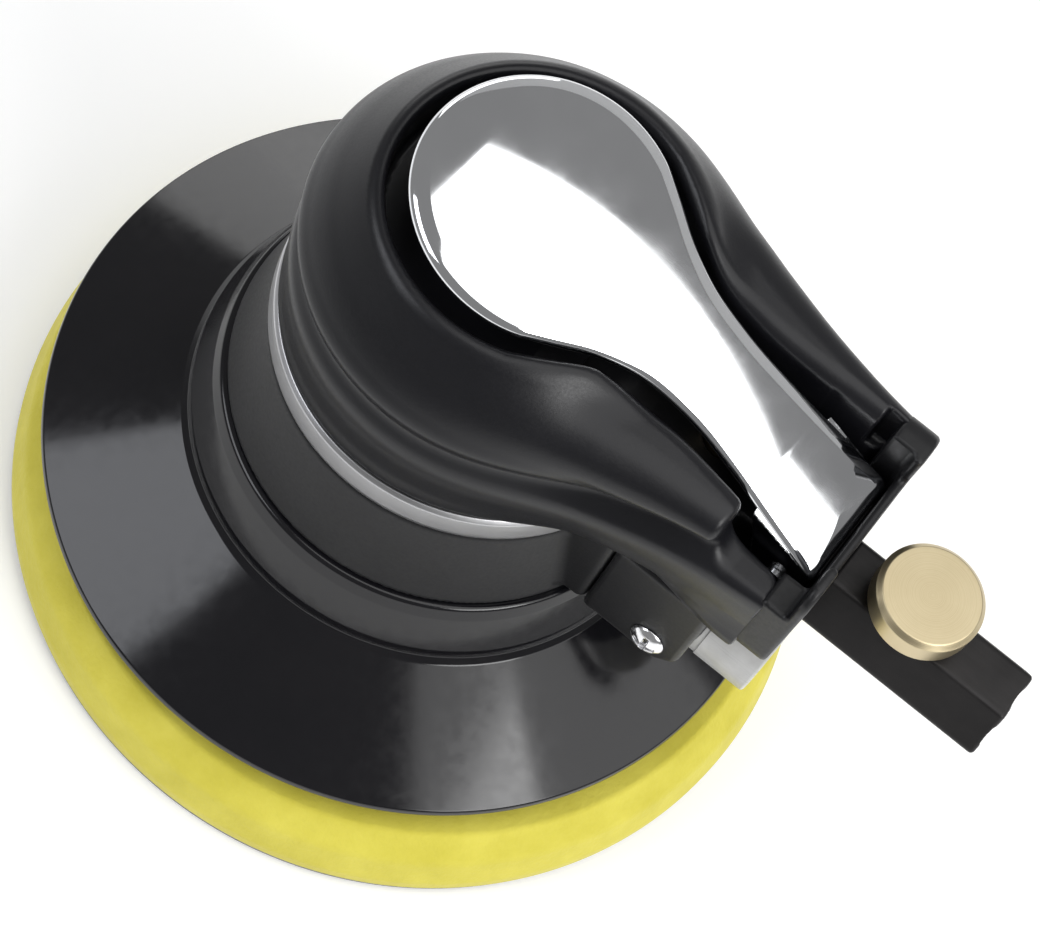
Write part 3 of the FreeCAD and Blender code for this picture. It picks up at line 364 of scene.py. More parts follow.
looks = {
    "grip_rubber": surface(
        "grip_rubber_look", (0.0045, 0.0045, 0.006), (0.008, 0.008, 0.010), (0.30, 0.38), grain=2600,
        depth=0.010, patch=45, specular=0.35),
    "housing_plastic": surface(
        "housing_plastic_look", (0.005, 0.005, 0.006), (0.009, 0.009, 0.010), (0.36, 0.46), grain=1800,
        depth=0.010, patch=70, specular=0.35),
    "skirt_plastic": surface(
        "skirt_plastic_look", (0.004, 0.004, 0.0055), (0.007, 0.0065, 0.008), (0.10, 0.16), grain=500,
        depth=0.003, patch=35, specular=0.45),
    "pad_foam": surface(
        "pad_foam_look", (0.62, 0.545, 0.055), (0.72, 0.64, 0.085), (0.8, 0.95), grain=1500, depth=0.12,
        patch=120, sheen=0.15),
    "hook_face": surface(
        "hook_face_look", (0.10, 0.10, 0.095), (0.17, 0.17, 0.16), (0.8, 0.95), grain=2600, depth=0.35,
        patch=300, sheen=0.4),
    "pad_plate": surface(
        "pad_plate_look", (0.02, 0.02, 0.022), (0.035, 0.035, 0.04), (0.4, 0.55), grain=900),
    "lever_chrome": surface(
        "lever_chrome_look", (0.80, 0.81, 0.83), (0.86, 0.87, 0.89), (0.035, 0.07), metal=1.0, grain=160,
        depth=0.0015, patch=40),
    "ring_aluminium": surface(
        "ring_aluminium_look", (0.44, 0.44, 0.45), (0.56, 0.56, 0.57), (0.32, 0.40), metal=1.0, grain=500,
        depth=0.002, stretch=(0.15, 0.15, 6)),
    "inlet_black_oxide": surface(
        "inlet_black_oxide_look", (0.014, 0.013, 0.013), (0.03, 0.028, 0.028), (0.36, 0.5), metal=0.6,
        grain=800, depth=0.01, stretch=(0.3, 3, 3)),
    "steel": surface(
        "steel_look", (0.42, 0.42, 0.43), (0.56, 0.56, 0.57), (0.2, 0.32), metal=1.0, grain=600),
    "screw_chrome": surface(
        "screw_chrome_look", (0.80, 0.80, 0.82), (0.90, 0.90, 0.91), (0.12, 0.22), metal=1.0, grain=900,
        depth=0.01),
    "balancer_steel": surface(
        "balancer_steel_look", (0.25, 0.25, 0.26), (0.36, 0.36, 0.37), (0.35, 0.5), metal=1.0, grain=500),
    "motor_aluminium": surface(
        "motor_aluminium_look", (0.55, 0.55, 0.56), (0.68, 0.68, 0.69), (0.3, 0.42), metal=1.0, grain=700),
    "vane_phenolic": surface(
        "vane_phenolic_look", (0.10, 0.045, 0.02), (0.16, 0.07, 0.03), (0.5, 0.65), grain=900,
        stretch=(6, 6, 0.5)),
    "seal_rubber": surface(
        "seal_rubber_look", (0.008, 0.008, 0.008), (0.014, 0.014, 0.014), (0.45, 0.6)),
    "tube_grey": surface(
        "tube_grey_look", (0.50, 0.50, 0.49), (0.66, 0.66, 0.65), (0.25, 0.36), grain=500, depth=0.03,
        stretch=(0.06, 1.6, 1.6), patch=160),
    "felt": surface(
        "felt_look", (0.30, 0.29, 0.27), (0.42, 0.41, 0.38), (0.9, 1.0), grain=3000, depth=0.3, sheen=0.5),
}


def turned_brass():
    """Brass with the fine rings that a lathe tool leaves, and a slight tarnish."""
    material, tree, shader = new_material("turned_brass_look")
    place = tree.nodes.new("ShaderNodeTexCoord")
    mapping = tree.nodes.new("ShaderNodeMapping")
    mapping.inputs["Location"].default_value = (-KNOB_X * MM, 0, 0)
    mapping.inputs["Scale"].default_value = (1, 1, 0)
    length = tree.nodes.new("ShaderNodeVectorMath")
    length.operation = "LENGTH"
    rings = tree.nodes.new("ShaderNodeTexNoise")
    rings.noise_dimensions = "1D"
    rings.inputs["Scale"].default_value = 9000
    rings.inputs["Detail"].default_value = 3
    tree.links.new(place.outputs["Object"], mapping.inputs["Vector"])
    tree.links.new(mapping.outputs["Vector"], length.inputs[0])
    tree.links.new(length.outputs["Value"], rings.inputs["W"])
    patch = noise(tree, 120, 4)
    mix = tree.nodes.new("ShaderNodeMix")
    mix.data_type = "RGBA"
    mix.inputs["Factor"].default_value = 0.5
    tree.links.new(ramp(tree, patch, [(0.3, (0.52, 0.43, 0.26)), (0.7, (0.62, 0.53, 0.34))]),
                   mix.inputs["A"])
    tree.links.new(ramp(tree, rings.outputs["Fac"], [(0.3, (0.50, 0.41, 0.25)), (0.7, (0.66, 0.57, 0.38))]),
                   mix.inputs["B"])
    tree.links.new(mix.outputs["Result"], shader.inputs["Base Color"])
    tree.links.new(ramp(tree, rings.outputs["Fac"], [(0.3, 0.30), (0.7, 0.44)]), shader.inputs["Roughness"])
    shader.inputs["Metallic"].default_value = 1.0
    bump(tree, shader, rings.outputs["Fac"], 0.008)
    return material


looks["brass"] = turned_brass()

record = frame["record"]
slot_of = {part["node"]: part["material_slot"] for part in record["subparts"]}
for name, thing in nodes.items():
    material = looks[slot_of[name]]
    if not thing.material_slots:
        thing.data.materials.append(material)
    for slot in thing.material_slots:
        slot.material = material


def dress(piece, body, slot_name, *stood_for):
    """Ride a finished piece on its body, with its material slot and the CAD nodes it stands for."""
    piece.data.materials.append(looks[slot_name])
    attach(piece, body)
    if stood_for:
        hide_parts(*stood_for)
    return piece


# ---------------------------------------------------------------- pad
pad_radius = (foam_high[0] - foam_low[0]) / 2
foam_top_radius = pad_radius - 5.0
foam = lathe("foam_pad", [
    (0.0, foam_low[2], 0), (pad_radius, foam_low[2], 0.5), (pad_radius, foam_low[2] + 2.4, 3.0),
    (pad_radius - 1.5, foam_high[2] - 4.0, 4.0), (foam_top_radius, foam_high[2], 1.2),
    (0.0, foam_high[2], 0)],
    origin=(ORBIT, 0, 0), segments=288, steps=8)
dress(foam, "pad", "pad_foam", "pad_foam")
hook_radius = (hook_high[0] - hook_low[0]) / 2
hook = lathe("hook_layer", [
    (0.0, hook_low[2], 0), (hook_radius, hook_low[2], 0.35), (hook_radius, hook_high[2] - 0.02, 0.3),
    (0.0, hook_high[2] - 0.02, 0)], origin=(ORBIT, 0, 0), segments=288)
dress(hook, "pad", "hook_face", "hook_face")

# ---------------------------------------------------------------- skirt
rim, rim_z = skirt_high[0], skirt_low[2]
skirt = lathe("skirt_shell", [
    (31.0, 30.0, 0.3), (35.7, 27.1, 1.5), (rim - 2.6, rim_z + 0.9, 0.4), (rim - 1.6, rim_z, 0.4),
    (rim, rim_z, 0.7), (rim - 0.3, rim_z + 1.5, 0.6), (38.4, 29.0, 1.0), (37.5, 29.9, 0.5),
    (37.3, 31.9, 1.6), (35.2, 38.8, 3.0), (34.3, skirt_high[2] - 0.1, 1.0), (33.2, skirt_high[2], 0.5),
    (31.0, skirt_high[2], 0.3)], segments=288)
dress(skirt, "housing", "skirt_plastic", "skirt")

# ---------------------------------------------------------------- trim ring
RING_BORE = 28.45
split = math.degrees(math.asin(15.0 / 29.5))      # the ring stops at the sides of the exhaust duct
ring = lathe("trim_band", [
    (RING_BORE, ring_low[2] + 0.02, 0.15), (30.25, ring_low[2] + 0.02, 0.35),
    (ring_high[1], ring_low[2] + 1.2, 1.0), (30.45, ring_high[2] - 0.6, 0.6),
    (29.9, ring_high[2] - 0.02, 0.3), (RING_BORE, ring_high[2] - 0.02, 0.15)],
    segments=200, arc=(split + 0.6, 360 - split - 0.6))
dress(ring, "housing", "ring_aluminium", "trim_ring")

# ---------------------------------------------------------------- lever outline, followed by the grip
LEVER_PLAN = [(8, 17.1), (12, 14.6), (17, 11.4), (22, 9.1), (30, 7.8), (40, 8.1), (48, 8.9),
              (lever_high[0], 9.7)]
LEVER_HEAD = 19.2
LEVER_THICK = 2.0
BEVEL = 2.6
HEAD_END_X, HEAD_END_Y = LEVER_PLAN[0]
LEVER_CENTRE = (HEAD_END_X ** 2 + HEAD_END_Y ** 2 - LEVER_HEAD ** 2) / (2 * (HEAD_END_X + LEVER_HEAD))
LEVER_SPAN = LEVER_CENTRE + LEVER_HEAD
TAIL_X = 44.0


def crown(x):
    """Height of the lever's top along its middle: an arch that straightens towards the tail."""
    arch = 100.6 - 0.124 * x - 0.00377 * x * x
    return np.where(x < TAIL_X, arch, 87.85 - 0.43 * (x - TAIL_X))


def dome(y):
    """How far the lever's top falls away from its middle towards its sides."""
    return 0.5 * (y / LEVER_HEAD) ** 2


def plan_distance(x, y):
    """Distance outside the lever's outline, seen from above."""
    side = (np.abs(y) - curve(x, LEVER_PLAN)) * 0.9
    nose = np.hypot(x - LEVER_CENTRE, y) - LEVER_SPAN
    return np.where(x < HEAD_END_X, nose, side)


# ---------------------------------------------------------------- shared distances of housing and grip
RIM_Z = grip_high[2]
REAR_X = grip_high[0]
FLANGE_LOW, FLANGE_TOP, FLANGE_HALF = 65.4, 89.5, 17.2
FLANGE_CORNER = 4.5
FLANGE_FRONT = 53.4
HANDLE_REAR = bar_low[0] + 11.0
CHANNEL = 11.0
CHANNEL_FLOOR = 69.5      # floor of the room behind the lever's hinge
ROOM_FRONT, ROOM_REAR = 43.5, 57.5
NOTCH_HALF, NOTCH_Z = 10.0, 83.4
ABOVE = 99.0              # higher than anything that is cut open to the top
GRIP_LOW = 64.2
SPIGOT_RADIUS = 30.98
NECK_RADIUS, NECK_TAPER, NECK_LOW, NECK_TALL = 33.7, 3.5, 41.2, 17.0
THROAT_RADIUS = 28.4
LOCK_RING_BORE, MOTOR_BORE, BEARING_BORE = 27.5, 25.0, 14.0
SPIGOT_BORE, AIR_WAY = 5.0, 3.0
VALVE_BORES = [(6.5, 40, 73.2), (5.0, 70, 76), (3.3, 74, 95)]      # (radius, low z, high z)
SCOOP_Z = 81.7
OPENING_GAP = [(-20, 2.2), (-8, 1.6), (14, 1.6), (30, 2.0), (44, 2.4)]


def core_distance(x, y, z):
    """Plastic core inside the grip: head, handle core, pin lug and inlet boss."""
    r = np.hypot(x, y)
    head = meet(meet(r - 28.2, 60.0 - z, 0.3), z - 86.0, 1.0)
    head = meet(head, (r + z - 108.4) * HALF_ROOT, 1.0)
    width = np.abs(y) - CHANNEL
    top = np.where(x < 22, 83.0, 83.0 - (x - 22) * 4.0 / 21.5)
    handle = meet(meet(width, z - top, 0.8), slab(x, 10, ROOM_FRONT), 0.6)
    handle = meet(handle, 64.0 - z, 0.3)
    low = meet(meet(width, z - CHANNEL_FLOOR, 0.4), slab(x, 40, HANDLE_REAR - 2), 0.3)
    low = meet(low, 64.0 + np.clip(x - 10, 0, 45) * 0.064 - z, 0.3)
    lug = brick(x, y, z, ((43.0, 58.0), (-7.4, 7.4), (64.0, 79.0)), 1.2)
    boss = meet(rod(y, z - INLET_Z, 8.0), slab(x, 30, HANDLE_REAR), 0.5)
    return join(join(join(join(head, handle, 0.5), low, 0.3), lug, 1.0), boss, 1.0)


def housing_distance(x, y, z):
    """Outside and inside of the housing."""
    r = np.hypot(x, y)
    spigot = meet(r - SPIGOT_RADIUS, slab(z, 30.0, 44.0), 0.3)
    taper = NECK_RADIUS - (z - NECK_LOW) * NECK_TAPER / NECK_TALL
    neck = meet((r - taper) * 0.979, slab(z, NECK_LOW, NECK_LOW + NECK_TALL), 0.9)
    throat = meet(r - THROAT_RADIUS, slab(z, 56.0, 64.0), 0.2)
    shape = join(join(spigot, neck, 0.3), throat, 0.4)
    duct = brick(x, y, z, ((15.0, 34.0), (-15.0, 15.0), (43.0, 65.0)), 1.6)
    shape = join(shape, duct, 1.2)
    flange = brick(x, y, z, ((FLANGE_FRONT, HANDLE_REAR), (-FLANGE_HALF, FLANGE_HALF),
                             (FLANGE_LOW, FLANGE_TOP)), 0.8)
    middle, tall = (FLANGE_LOW + FLANGE_TOP) / 2, (FLANGE_TOP - FLANGE_LOW) / 2
    across, up = np.abs(y) - (FLANGE_HALF - FLANGE_CORNER), np.abs(z - middle) - (tall - FLANGE_CORNER)
    corner = np.hypot(np.maximum(across, 0), np.maximum(up, 0)) + np.minimum(np.maximum(across, up), 0)
    corner = corner - FLANGE_CORNER
    flange = meet(flange, corner, 0.8)
    room = brick(x, y, z, ((50.0, ROOM_REAR), (-CHANNEL, CHANNEL), (CHANNEL_FLOOR, ABOVE)), 0.8)
    flange = carve(flange, room, 0.5)
    near_room = brick(x, y, z, ((50.0, ROOM_REAR), (-20.0, 0.0), (SCOOP_Z, ABOVE)), 0.8)
    flange = carve(flange, near_room, 0.5)
    tail_notch = brick(x, y, z, ((50.0, HANDLE_REAR + 3), (-NOTCH_HALF, NOTCH_HALF),
                                 (NOTCH_Z, ABOVE)), 0.8)
    flange = carve(flange, tail_notch, 0.8)
    shape = soft_join(join(shape, core_distance(x, y, z), 0.2), flange, 0.3)
    bore = meet(r - LOCK_RING_BORE, slab(z, 20.0, 44.0), 0.1)
    bore = join(bore, meet(r - MOTOR_BORE, slab(z, 40.0, 77.0), 0.1), 0.1)
    bore = join(bore, meet(r - BEARING_BORE, slab(z, 70.0, 82.6), 0.1), 0.1)
    shape = carve(shape, bore, 0.2)
    ways = meet(rod(y, z - INLET_Z, SPIGOT_BORE), slab(x, 48, 80), 0.1)
    ways = join(ways, meet(rod(y, z - INLET_Z, AIR_WAY), slab(x, VALVE_X, 50), 0.1), 0.1)
    for radius, low, high in VALVE_BORES:
        ways = join(ways, meet(rod(x - VALVE_X, y, radius), slab(z, low, high), 0.1), 0.1)
    ways = join(ways, brick(x, y, z, ((20, 40), (-10, 10), (46, 56)), 0.1), 0.1)
    return carve(shape, ways, 0.2)


detail = 0.6
shell = surface_net("housing_shell", housing_distance, (-34, -34, 30), (59, 34, 89.6), detail)
dress(shell, "housing", "housing_plastic", "housing")

# knots of curves: HEAD_PROFILE and SIDE_INSET run up z, the others run back along x
HEAD_PROFILE = [(GRIP_LOW, 29.9), (65.2, 30.15), (69, 30.3), (74, 30.6), (77.6, 30.5), (80.4, 29.35),
                (83.2, 30.6), (85.2, 30.85), (87.6, 29.7), (90, 28.2), (92.2, 26.6), (94.8, 24.7),
                (97.6, 22.6)]
HALF_WIDTH = [(-8, 26.0), (0, 27.2), (7, 26.9), (14, 25.7), (22, 23.6), (30, 21.3), (38, 19.5), (46, 18.3),
              (54, 17.3)]
TOP_HEIGHT = [(-8, 90.0), (0, 92.6), (8, 94.2), (15, 94.2), (22, 93.6), (30, 92.7), (38, 91.6), (46, 90.5),
              (54, 89.5)]
ROUNDING = [(-8, 8.5), (0, 8.5), (14, 7.5), (22, 6.6), (30, 6.0), (40, 5.0), (54, 4.0)]
GROOVE_RISE = [(10, 0), (22, 0.6), (30, 1.6), (40, 3.0), (50, 3.8), (54, 4.0)]
GROOVE_DEEPER = [(8, 0.9), (20, 1.1), (30, 1.5), (42, 1.5), (48, 1.1), (54, 0.5)]
SIDE_INSET = [(64, 3.4), (67, 2.0), (70, 1.15), (73.5, 0.3), (76.6, 0.3), (80.4, 2.1), (84.4, 0.45),
              (87.5, 0.0), (92, 0.0)]


def grip_distance(x, y, z):
    """Rubber grip: a domed head and a tapering handle, with a finger groove round its side."""
    r, side = np.hypot(x, y), np.abs(y)
    head = (r - curve(z, HEAD_PROFILE)) * 0.93
    head = meet(head, z - RIM_Z, 1.6)
    inset = curve(z - curve(x, GROOVE_RISE) * np.clip((z - 70) / 8, 0, 1), SIDE_INSET)
    inset = inset * (1 - np.clip((x - 40) / 14, 0, 1) * np.clip((73 - z) / 5, 0, 1))
    flank = (side - curve(x, HALF_WIDTH) + inset * curve(x, GROOVE_DEEPER)) * 0.9
    lobe = curve(x, ROUNDING)
    handle = meet(flank, z - curve(x, TOP_HEIGHT), lobe)
    handle = meet(handle, slab(x, -8.0, REAR_X), 0.15)
    body = soft_join(head, handle, 4.0)
    floor_z = GRIP_LOW + np.clip(x - 12, 0, 42) * 0.028
    body = meet(body, floor_z - z, 1.4)
    floor_line = np.where(x < 22, 89.5 - np.clip(x - 10, 0, 12) * 0.54, 83.0 - (x - 22) * 4.0 / 21.5)
    gap = plan_distance(x, y) - curve(x, OPENING_GAP)
    body = carve(body, meet(gap, floor_line - z, 0.8), 2.4)
    hinge_room = meet(meet(side - CHANNEL, ROOM_FRONT - x, 0.3), CHANNEL_FLOOR - z, 0.3)
    body = carve(body, hinge_room, 0.6)
    scoop = meet(meet(43.8 - x, SCOOP_Z - z, 4.2), y, 0.1)
    body = carve(body, scoop, 1.2)
    slot = meet(meet(50.9 - x, SCOOP_Z - z, 0.4), slab(y, 10.0, 14.0), 0.3)
    body = carve(body, slot, 0.5)
    return np.maximum(body, 0.04 - core_distance(x, y, z))


grip = surface_net("grip_rubber_shell", grip_distance, (-31.2, -31.2, 64.0), (REAR_X, 31.2, RIM_Z), detail)
dress(grip, "housing", "grip_rubber", "grip_cover")


# ---------------------------------------------------------------- exhaust block and tube
def exhaust_distance(x, y, z):
    """Exhaust block: cut off at 45 degrees below, with a boss and a seat for the tube."""
    body = brick(x, y, z, ((34.0, block_high[0]), (-15.0, 15.0), (43.0, block_high[2])), 0.9)
    body = meet(body, (x - z - (block_high[0] - 46.0)) * HALF_ROOT, 1.0)
    boss = meet(rod(y, z - TUBE_Z, 10.6), slab(x, 40.0, block_high[0]), 0.8)
    body = join(body, boss, 1.2)
    saddle = brick(x, y, z, ((30, 55), (-8.6, 8.6), (57.6, 70)), 0.5)
    body = carve(body, saddle, 0.4)
    seat = meet(rod(y, z - TUBE_Z, 9.0), slab(x, 42.0, 60.0), 0.2)
    way = brick(x, y, z, ((30.0, 43.0), (-10, 10), (46, 54)), 0.2)
    return carve(carve(body, seat, 0.4), way, 0.2)


exhaust = surface_net("exhaust_shell", exhaust_distance, (34, -15, 32.4), (50, 15, 63.8), detail)
dress(exhaust, "housing", "housing_plastic", "exhaust_block")


def screw_distance(x, y, z):
    """Domed heads and shanks of the two cross-recessed exhaust screws."""
    r, side = np.hypot(x - SCREW_X, z - SCREW_Z), np.abs(y)
    dome = np.hypot(r, side - (screw_high[1] - 3.6)) - 3.6
    head = meet(meet(r - 2.9, dome, 0.3), 15.02 - side, 0.1)
    shank = meet(r - 1.5, 11.0 - side, 0.1)
    shank = meet(shank, side - 15.4, 0.1)
    arm = np.minimum(meet(np.abs(x - SCREW_X) - 0.4, np.abs(z - SCREW_Z) - 1.8, 0.1),
                     meet(np.abs(z - SCREW_Z) - 0.4, np.abs(x - SCREW_X) - 1.8, 0.1))
    return carve(join(head, shank, 0.1), meet(arm, screw_high[1] - 1.1 - side, 0.1), 0.15)


screws = surface_net("exhaust_screw_heads", screw_distance, (SCREW_X - 3, screw_low[1], SCREW_Z - 3),
                     (SCREW_X + 3, screw_high[1], SCREW_Z + 3), 0.18)
dress(screws, "housing", "screw_chrome", "exhaust_screws")
TUBE_BORE, TUBE_SEAT, TUBE_RADIUS, TUBE_FRONT, TUBE_STEP = 7.4, 8.8, 9.0, 42.0, 51.0
tube = lathe("muffler_tube", [
    (TUBE_BORE, TUBE_FRONT, 0.1), (TUBE_SEAT, TUBE_FRONT, 0.2), (TUBE_SEAT, TUBE_STEP, 0),
    (TUBE_RADIUS, TUBE_STEP + 0.1, 0.05), (TUBE_RADIUS, tube_high[0], 0.5), (TUBE_BORE, tube_high[0], 0.4)],
    origin=(0, 0, TUBE_Z), axis="x", segments=160)
dress(tube, "housing", "tube_grey", "exhaust_tube")


# ---------------------------------------------------------------- inlet bar
THREAD_CORE, THREAD_DEEP = 5.72, 12.0


def inlet_distance(x, y, z):
    """Hexagonal bar with its spigot, thread bore, air way and the well of the regulator."""
    across = np.full(np.shape(x), -1e3)
    for i in range(6):
        angle = math.radians(60 * i + 30)
        across = meet(across, y * math.cos(angle) + (z - INLET_Z) * math.sin(angle) - FLAT, 0.35)
    bar = meet(across, slab(x, HANDLE_REAR + 0.02, bar_high[0]), 0.6)
    spigot = meet(rod(y, z - INLET_Z, SPIGOT_BORE - 0.02), slab(x, bar_low[0], HANDLE_REAR + 1), 0.3)
    bar = join(bar, spigot, 0.2)
    bore = meet(rod(y, z - INLET_Z, THREAD_CORE), bar_high[0] - THREAD_DEEP - x, 0.2)
    bore = join(bore, rod(y, z - INLET_Z, AIR_WAY), 0.2)
    mouth = (np.hypot(y, z - INLET_Z) - THREAD_CORE - np.maximum(x - bar_high[0] + 0.9, 0)) * 0.8
    bore = join(bore, meet(mouth, bar_high[0] - THREAD_DEEP - x, 0.1), 0.1)
    well = meet(rod(x - KNOB_X, y, 3.65), 62.6 - z, 0.1)
    return carve(carve(bar, bore, 0.2), well, 0.3)


inlet = surface_net("inlet_hexagon", inlet_distance, (bar_low[0], -9, 59.6), (bar_high[0], 9, 75.4),
                    0.42)
dress(inlet, "housing", "inlet_black_oxide", "inlet_bar")

# ---------------------------------------------------------------- regulator knob
knob_radius = (knob_high[0] - knob_low[0]) / 2
knob = lathe("brass_knob", [
    (0.0, knob_low[2], 0), (knob_radius - 0.6, knob_low[2], 0.2), (knob_radius, knob_low[2] + 0.6, 0.25),
    (knob_radius, knob_high[2] - 0.8, 0.3), (knob_radius - 0.75, knob_high[2], 0.3),
    (0.0, knob_high[2], 0)],
    origin=(KNOB_X, 0, 0), segments=160)
dress(knob, "regulator", "brass", "regulator_knob")

# ---------------------------------------------------------------- valve stem
STEM_CUT = 0.4        # the button ends lower than its CAD stem, so that the pressed lever clears it
stem_top = stem_high[2] - STEM_CUT
stem = lathe("valve_button", [
    (0.0, stem_low[2], 0), (1.6, stem_low[2], 0.2), (1.6, 75.2, 0), (3.0, 76.4, 0.2),
    (3.0, stem_top - 2.4, 0.4), (2.2, stem_top - 0.7, 0.6), (1.0, stem_top, 0.5), (0.0, stem_top, 0)],
    origin=(VALVE_X, 0, 0), segments=64)
dress(stem, "valve", "brass", "valve_stem")


# ---------------------------------------------------------------- lever
EDGE_ROUND = 1.1      # width of the rounding at the lever's edge
TAIL_CORNER = 1.2     # radius of its two rear corners
TAIL_SPAN = 6.0       # stretch at the tail where the rings turn to run across
CORE_INSET = 4.5      # how far in the rings follow the outline


def drop_at(inset):
    """How far the lever's top lies under its crown, by the distance in from its edge."""
    bevel = np.clip((BEVEL - inset) / BEVEL, 0, 1)
    round_over = np.clip((EDGE_ROUND - inset) / EDGE_ROUND, 0, 1)
    return 0.30 * bevel + 0.35 * bevel ** 2 + (1 - np.sqrt(np.maximum(1 - round_over ** 2, 0))) * 0.75


def lever_outline():
    """Points of the lever's outline, from the nose along one side to the tail and back."""
    rear = lever_high[0]
    corner_x = rear - TAIL_CORNER
    corner_y = float(curve(corner_x, LEVER_PLAN)) - TAIL_CORNER
    nose_end = math.atan2(HEAD_END_Y, HEAD_END_X - LEVER_CENTRE)
    side = [(LEVER_CENTRE + LEVER_SPAN * math.cos(angle), LEVER_SPAN * math.sin(angle))
            for angle in np.linspace(math.pi, nose_end, 64, endpoint=False)]
    side += [(x, float(curve(x, LEVER_PLAN))) for x in np.linspace(HEAD_END_X, corner_x, 110)]
    side += [(corner_x + TAIL_CORNER * math.cos(angle), corner_y + TAIL_CORNER * math.sin(angle))
             for angle in np.linspace(math.pi / 2, 0, 8)[1:]]
    side += [(rear, y) for y in np.linspace(corner_y, 0, 12)[1:-1]]
    half = np.array(side)
    return np.concatenate([half, [(rear, 0.0)], half[:0:-1] * (1, -1)])


def build_lever():
    """Chromed spoon: rings that follow its outline, from the crown over the edge to the underside."""
    outline = lever_outline()
    rear = lever_high[0]
    anchor = outline.copy()
    anchor[:, 0] = np.clip(outline[:, 0], LEVER_CENTRE, rear - TAIL_SPAN)
    tail = outline[:, 0] > rear - TAIL_SPAN
    tail_anchor = rear - TAIL_SPAN + (outline[:, 0] - rear + TAIL_SPAN) * 0.2
    anchor[:, 0] = np.where(tail, tail_anchor, anchor[:, 0])
    anchor[:, 1] = 0.0
    inward = anchor - outline
    depth = np.linalg.norm(inward, axis=1)
    inward = inward / depth[:, None]
    count = len(outline)
    top_insets = [CORE_INSET, 3.6, BEVEL + 0.25, BEVEL, BEVEL - 0.25, 2.0, 1.5, EDGE_ROUND, 0.8, 0.55, 0.35,
                  0.18, 0.06, 0.0]
    rings = [(depth - (depth - CORE_INSET) * share, "top")
             for share in (0.0, 0.12, 0.25, 0.4, 0.55, 0.7, 0.85)]
    rings += [(np.full(count, inset), "top") for inset in top_insets]
    rings.append((np.full(count, 0.0), "edge"))
    rings += [(np.full(count, inset), "under") for inset in (0.06, 0.2, 0.45, 0.8, 1.2, 2.5, CORE_INSET)]
    rings += [(CORE_INSET + (depth - CORE_INSET) * share, "under") for share in (0.33, 0.66, 1.0)]
    vertices = []
    for inset, kind in rings:
        inset = np.minimum(inset, depth)
        place = outline + inward * inset[:, None]
        height = crown(place[:, 0]) - dome(place[:, 1])
        if kind == "top":
            z = height - drop_at(inset)
        else:
            lower = np.clip(1.0 - inset, 0, 1)
            z = height - LEVER_THICK + 0.55 * (1 - np.sqrt(1 - lower ** 2)) - 0.1
            if kind == "edge":
                z = z + 0.05
        vertices.append(np.column_stack([place, z]))
    faces = []
    for ring in range(0, (len(rings) - 1) * count, count):
        for i in range(count):
            j = (i + 1) % count
            faces.append((ring + i, ring + j, ring + count + j, ring + count + i))
    spoon = add_mesh("chrome_lever", np.concatenate(vertices), faces)
    mesh = spoon.data
    grid = bmesh.new()
    grid.from_mesh(mesh)
    bmesh.ops.remove_doubles(grid, verts=grid.verts, dist=1e-6)
    bmesh.ops.recalc_face_normals(grid, faces=grid.faces)
    grid.to_mesh(mesh)
    grid.free()
    mesh.shade_smooth()
    facing = []
    for vertex in mesh.vertices:
        x, y, z = vertex.co / MM
        on_top = abs(z - float(crown(x)) + dome(y)) < 0.02
        slope = float(crown(x + 0.1) - crown(x - 0.1)) / 0.2
        smooth = Vector((-slope, y / LEVER_HEAD ** 2, 1)).normalized()
        facing.append(smooth if on_top else vertex.normal.copy())
    mesh.normals_split_custom_set_from_vertices(facing)
    return spoon


def ear_distance(x, y, z):
    """The lever's two ears, which carry it on its pin."""
    rise = crown(45.0) - 1.2
    front = (45.0 + (rise - z) * (PIN_X - 48.0) / (rise - PIN_Z + 4) - x) * 0.95
    ear = meet(meet(slab(np.abs(y), 8.0, 9.5), front, 0.3), x - PIN_X - 4.0, 0.3)
    ear = meet(meet(ear, PIN_Z - 3.6 - z, 1.2), z - crown(x) + 1.3, 0.2)
    return carve(ear, rod(x - PIN_X, z - PIN_Z, 1.55), 0.1)


dress(build_lever(), "lever", "lever_chrome", "throttle_lever")
ears = surface_net("lever_ears", ear_distance, (44, -9.6, 72), (58, 9.6, 88), 0.45)
dress(ears, "lever", "lever_chrome")

# ---------------------------------------------------------------- stage
PALE = (0.93, 0.93, 0.925)
floor_mesh = bpy.data.meshes.new("studio_floor")
reach, sweep = 3.0, 1.2
rows = [(-reach, 0.0), (reach - sweep, 0.0)]
rows += [(reach - sweep + sweep * math.sin(a), sweep * (1 - math.cos(a)))
         for a in np.linspace(0.1, math.pi / 2, 12)]
rows += [(reach, reach)]
points = [(side * reach, along, height - 0.0002) for along, height in rows for side in (-1, 1)]
floor_mesh.from_pydata(points, [], [(2 * i, 2 * i + 1, 2 * i + 3, 2 * i + 2) for i in range(len(rows) - 1)])
floor_mesh.shade_smooth()
floor = bpy.data.objects.new("studio_floor", floor_mesh)
bpy.context.scene.collection.objects.link(floor)
floor_material, floor_tree, floor_shader = new_material("studio_paper")
floor_tree.links.new(ramp(floor_tree, noise(floor_tree, 6, 3), [(0.3, PALE), (0.7, (0.95, 0.95, 0.945))]),
                     floor_shader.inputs["Base Color"])
floor_shader.inputs["Roughness"].default_value = 0.9
floor_shader.inputs["Emission Color"].default_value = (1.0, 1.0, 1.0, 1)
floor_shader.inputs["Emission Strength"].default_value = 0.15
floor.data.materials.append(floor_material)

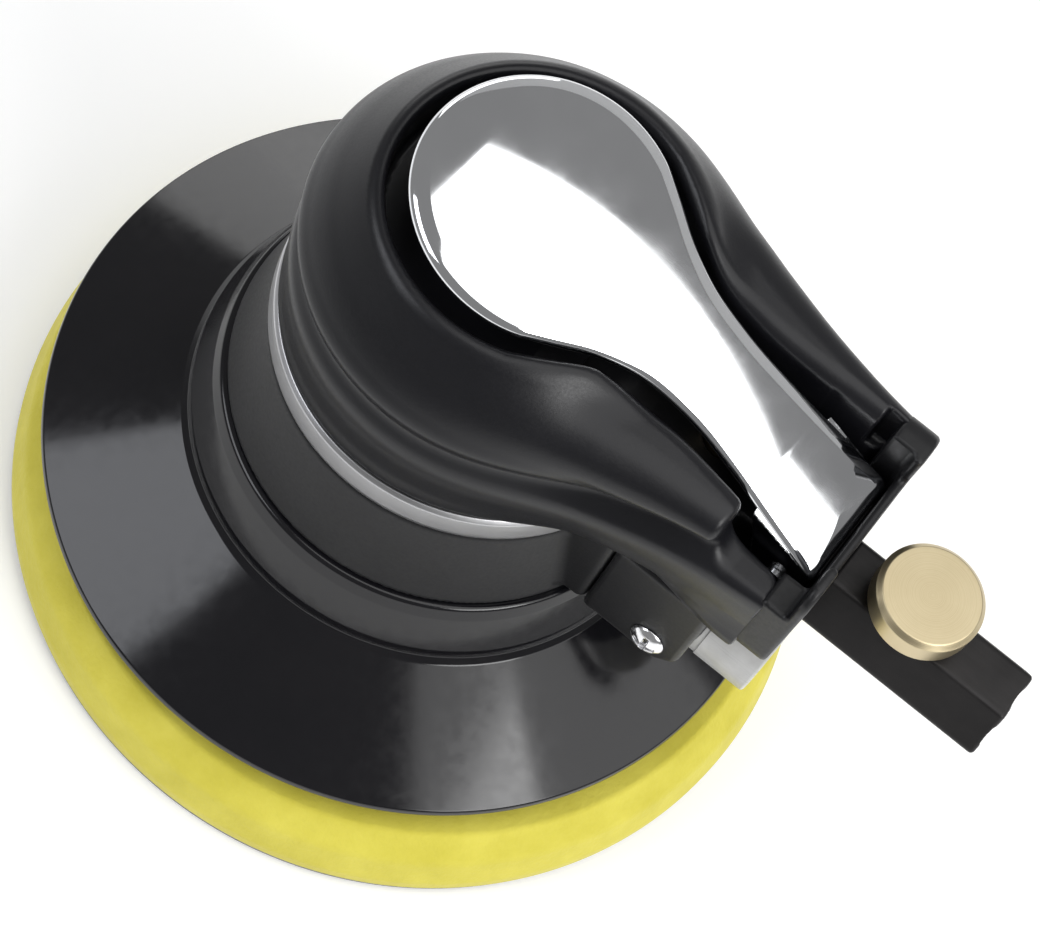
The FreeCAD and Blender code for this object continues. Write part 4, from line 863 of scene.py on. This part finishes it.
world = bpy.data.worlds.new("studio_world")
world.use_nodes = True
world.node_tree.nodes["Background"].inputs["Color"].default_value = (1.0, 1.0, 1.0, 1)
world.node_tree.nodes["Background"].inputs["Strength"].default_value = 0.24
bpy.context.scene.world = world


def softbox(name, direction, distance, along, size, power, colour=(1, 1, 1)):
    """Rectangular area light in a direction from the object, its long side lying along a vector."""
    data = bpy.data.lights.new(name, "AREA")
    data.shape = "RECTANGLE"
    data.size, data.size_y = size
    data.energy = power
    data.color = colour
    lamp = bpy.data.objects.new(name, data)
    bpy.context.scene.collection.objects.link(lamp)
    back = Vector(direction).normalized()
    across = Vector(along) - back * back.dot(Vector(along))
    across.normalize()
    other = back.cross(across)
    place = Vector((0.012, 0, 0.06)) + back * distance
    lamp.matrix_world = Matrix((
        (across.x, other.x, back.x, place.x), (across.y, other.y, back.y, place.y),
        (across.z, other.z, back.z, place.z), (0, 0, 0, 1)))
    return lamp


softbox("top_box", (0.505, 0.053, 0.861), 0.668, (0.86, -0.132, -0.49), (1.06, 0.70), 4.2)
softbox("left_box", (-0.62, -0.42, 0.66), 0.9, (0.5, -0.8, 0.0), (0.55, 0.42), 2.6, (0.93, 0.95, 1.0))
softbox("right_box", (0.70, -0.34, 0.55), 0.9, (0.4, 0.9, 0.0), (0.36, 0.34), 2.6)
softbox("back_box", (-0.62, 0.74, 0.24), 1.1, (0.75, 0.62, 0.0), (0.8, 0.4), 2.2)

# ---------------------------------------------------------------- camera
camera_data = bpy.data.cameras.new("camera")
camera = bpy.data.objects.new("camera", camera_data)
bpy.context.scene.collection.objects.link(camera)
forward = Vector((-0.064551, 0.448453, -0.891472)).normalized()
right = Vector((0.779785, 0.580120, 0.235364))
right = (right - forward * right.dot(forward)).normalized()
up = right.cross(forward)
camera.matrix_world = Matrix((
    (right.x, up.x, -forward.x, 0.045232), (right.y, up.y, -forward.y, -0.212120),
    (right.z, up.z, -forward.z, 0.455065), (0, 0, 0, 1)))
camera_data.sensor_width = 36
camera_data.lens = 110.5
camera_data.clip_start, camera_data.clip_end = 0.01, 20
bpy.context.scene.camera = camera
bpy.context.scene.view_settings.view_transform = "Standard"
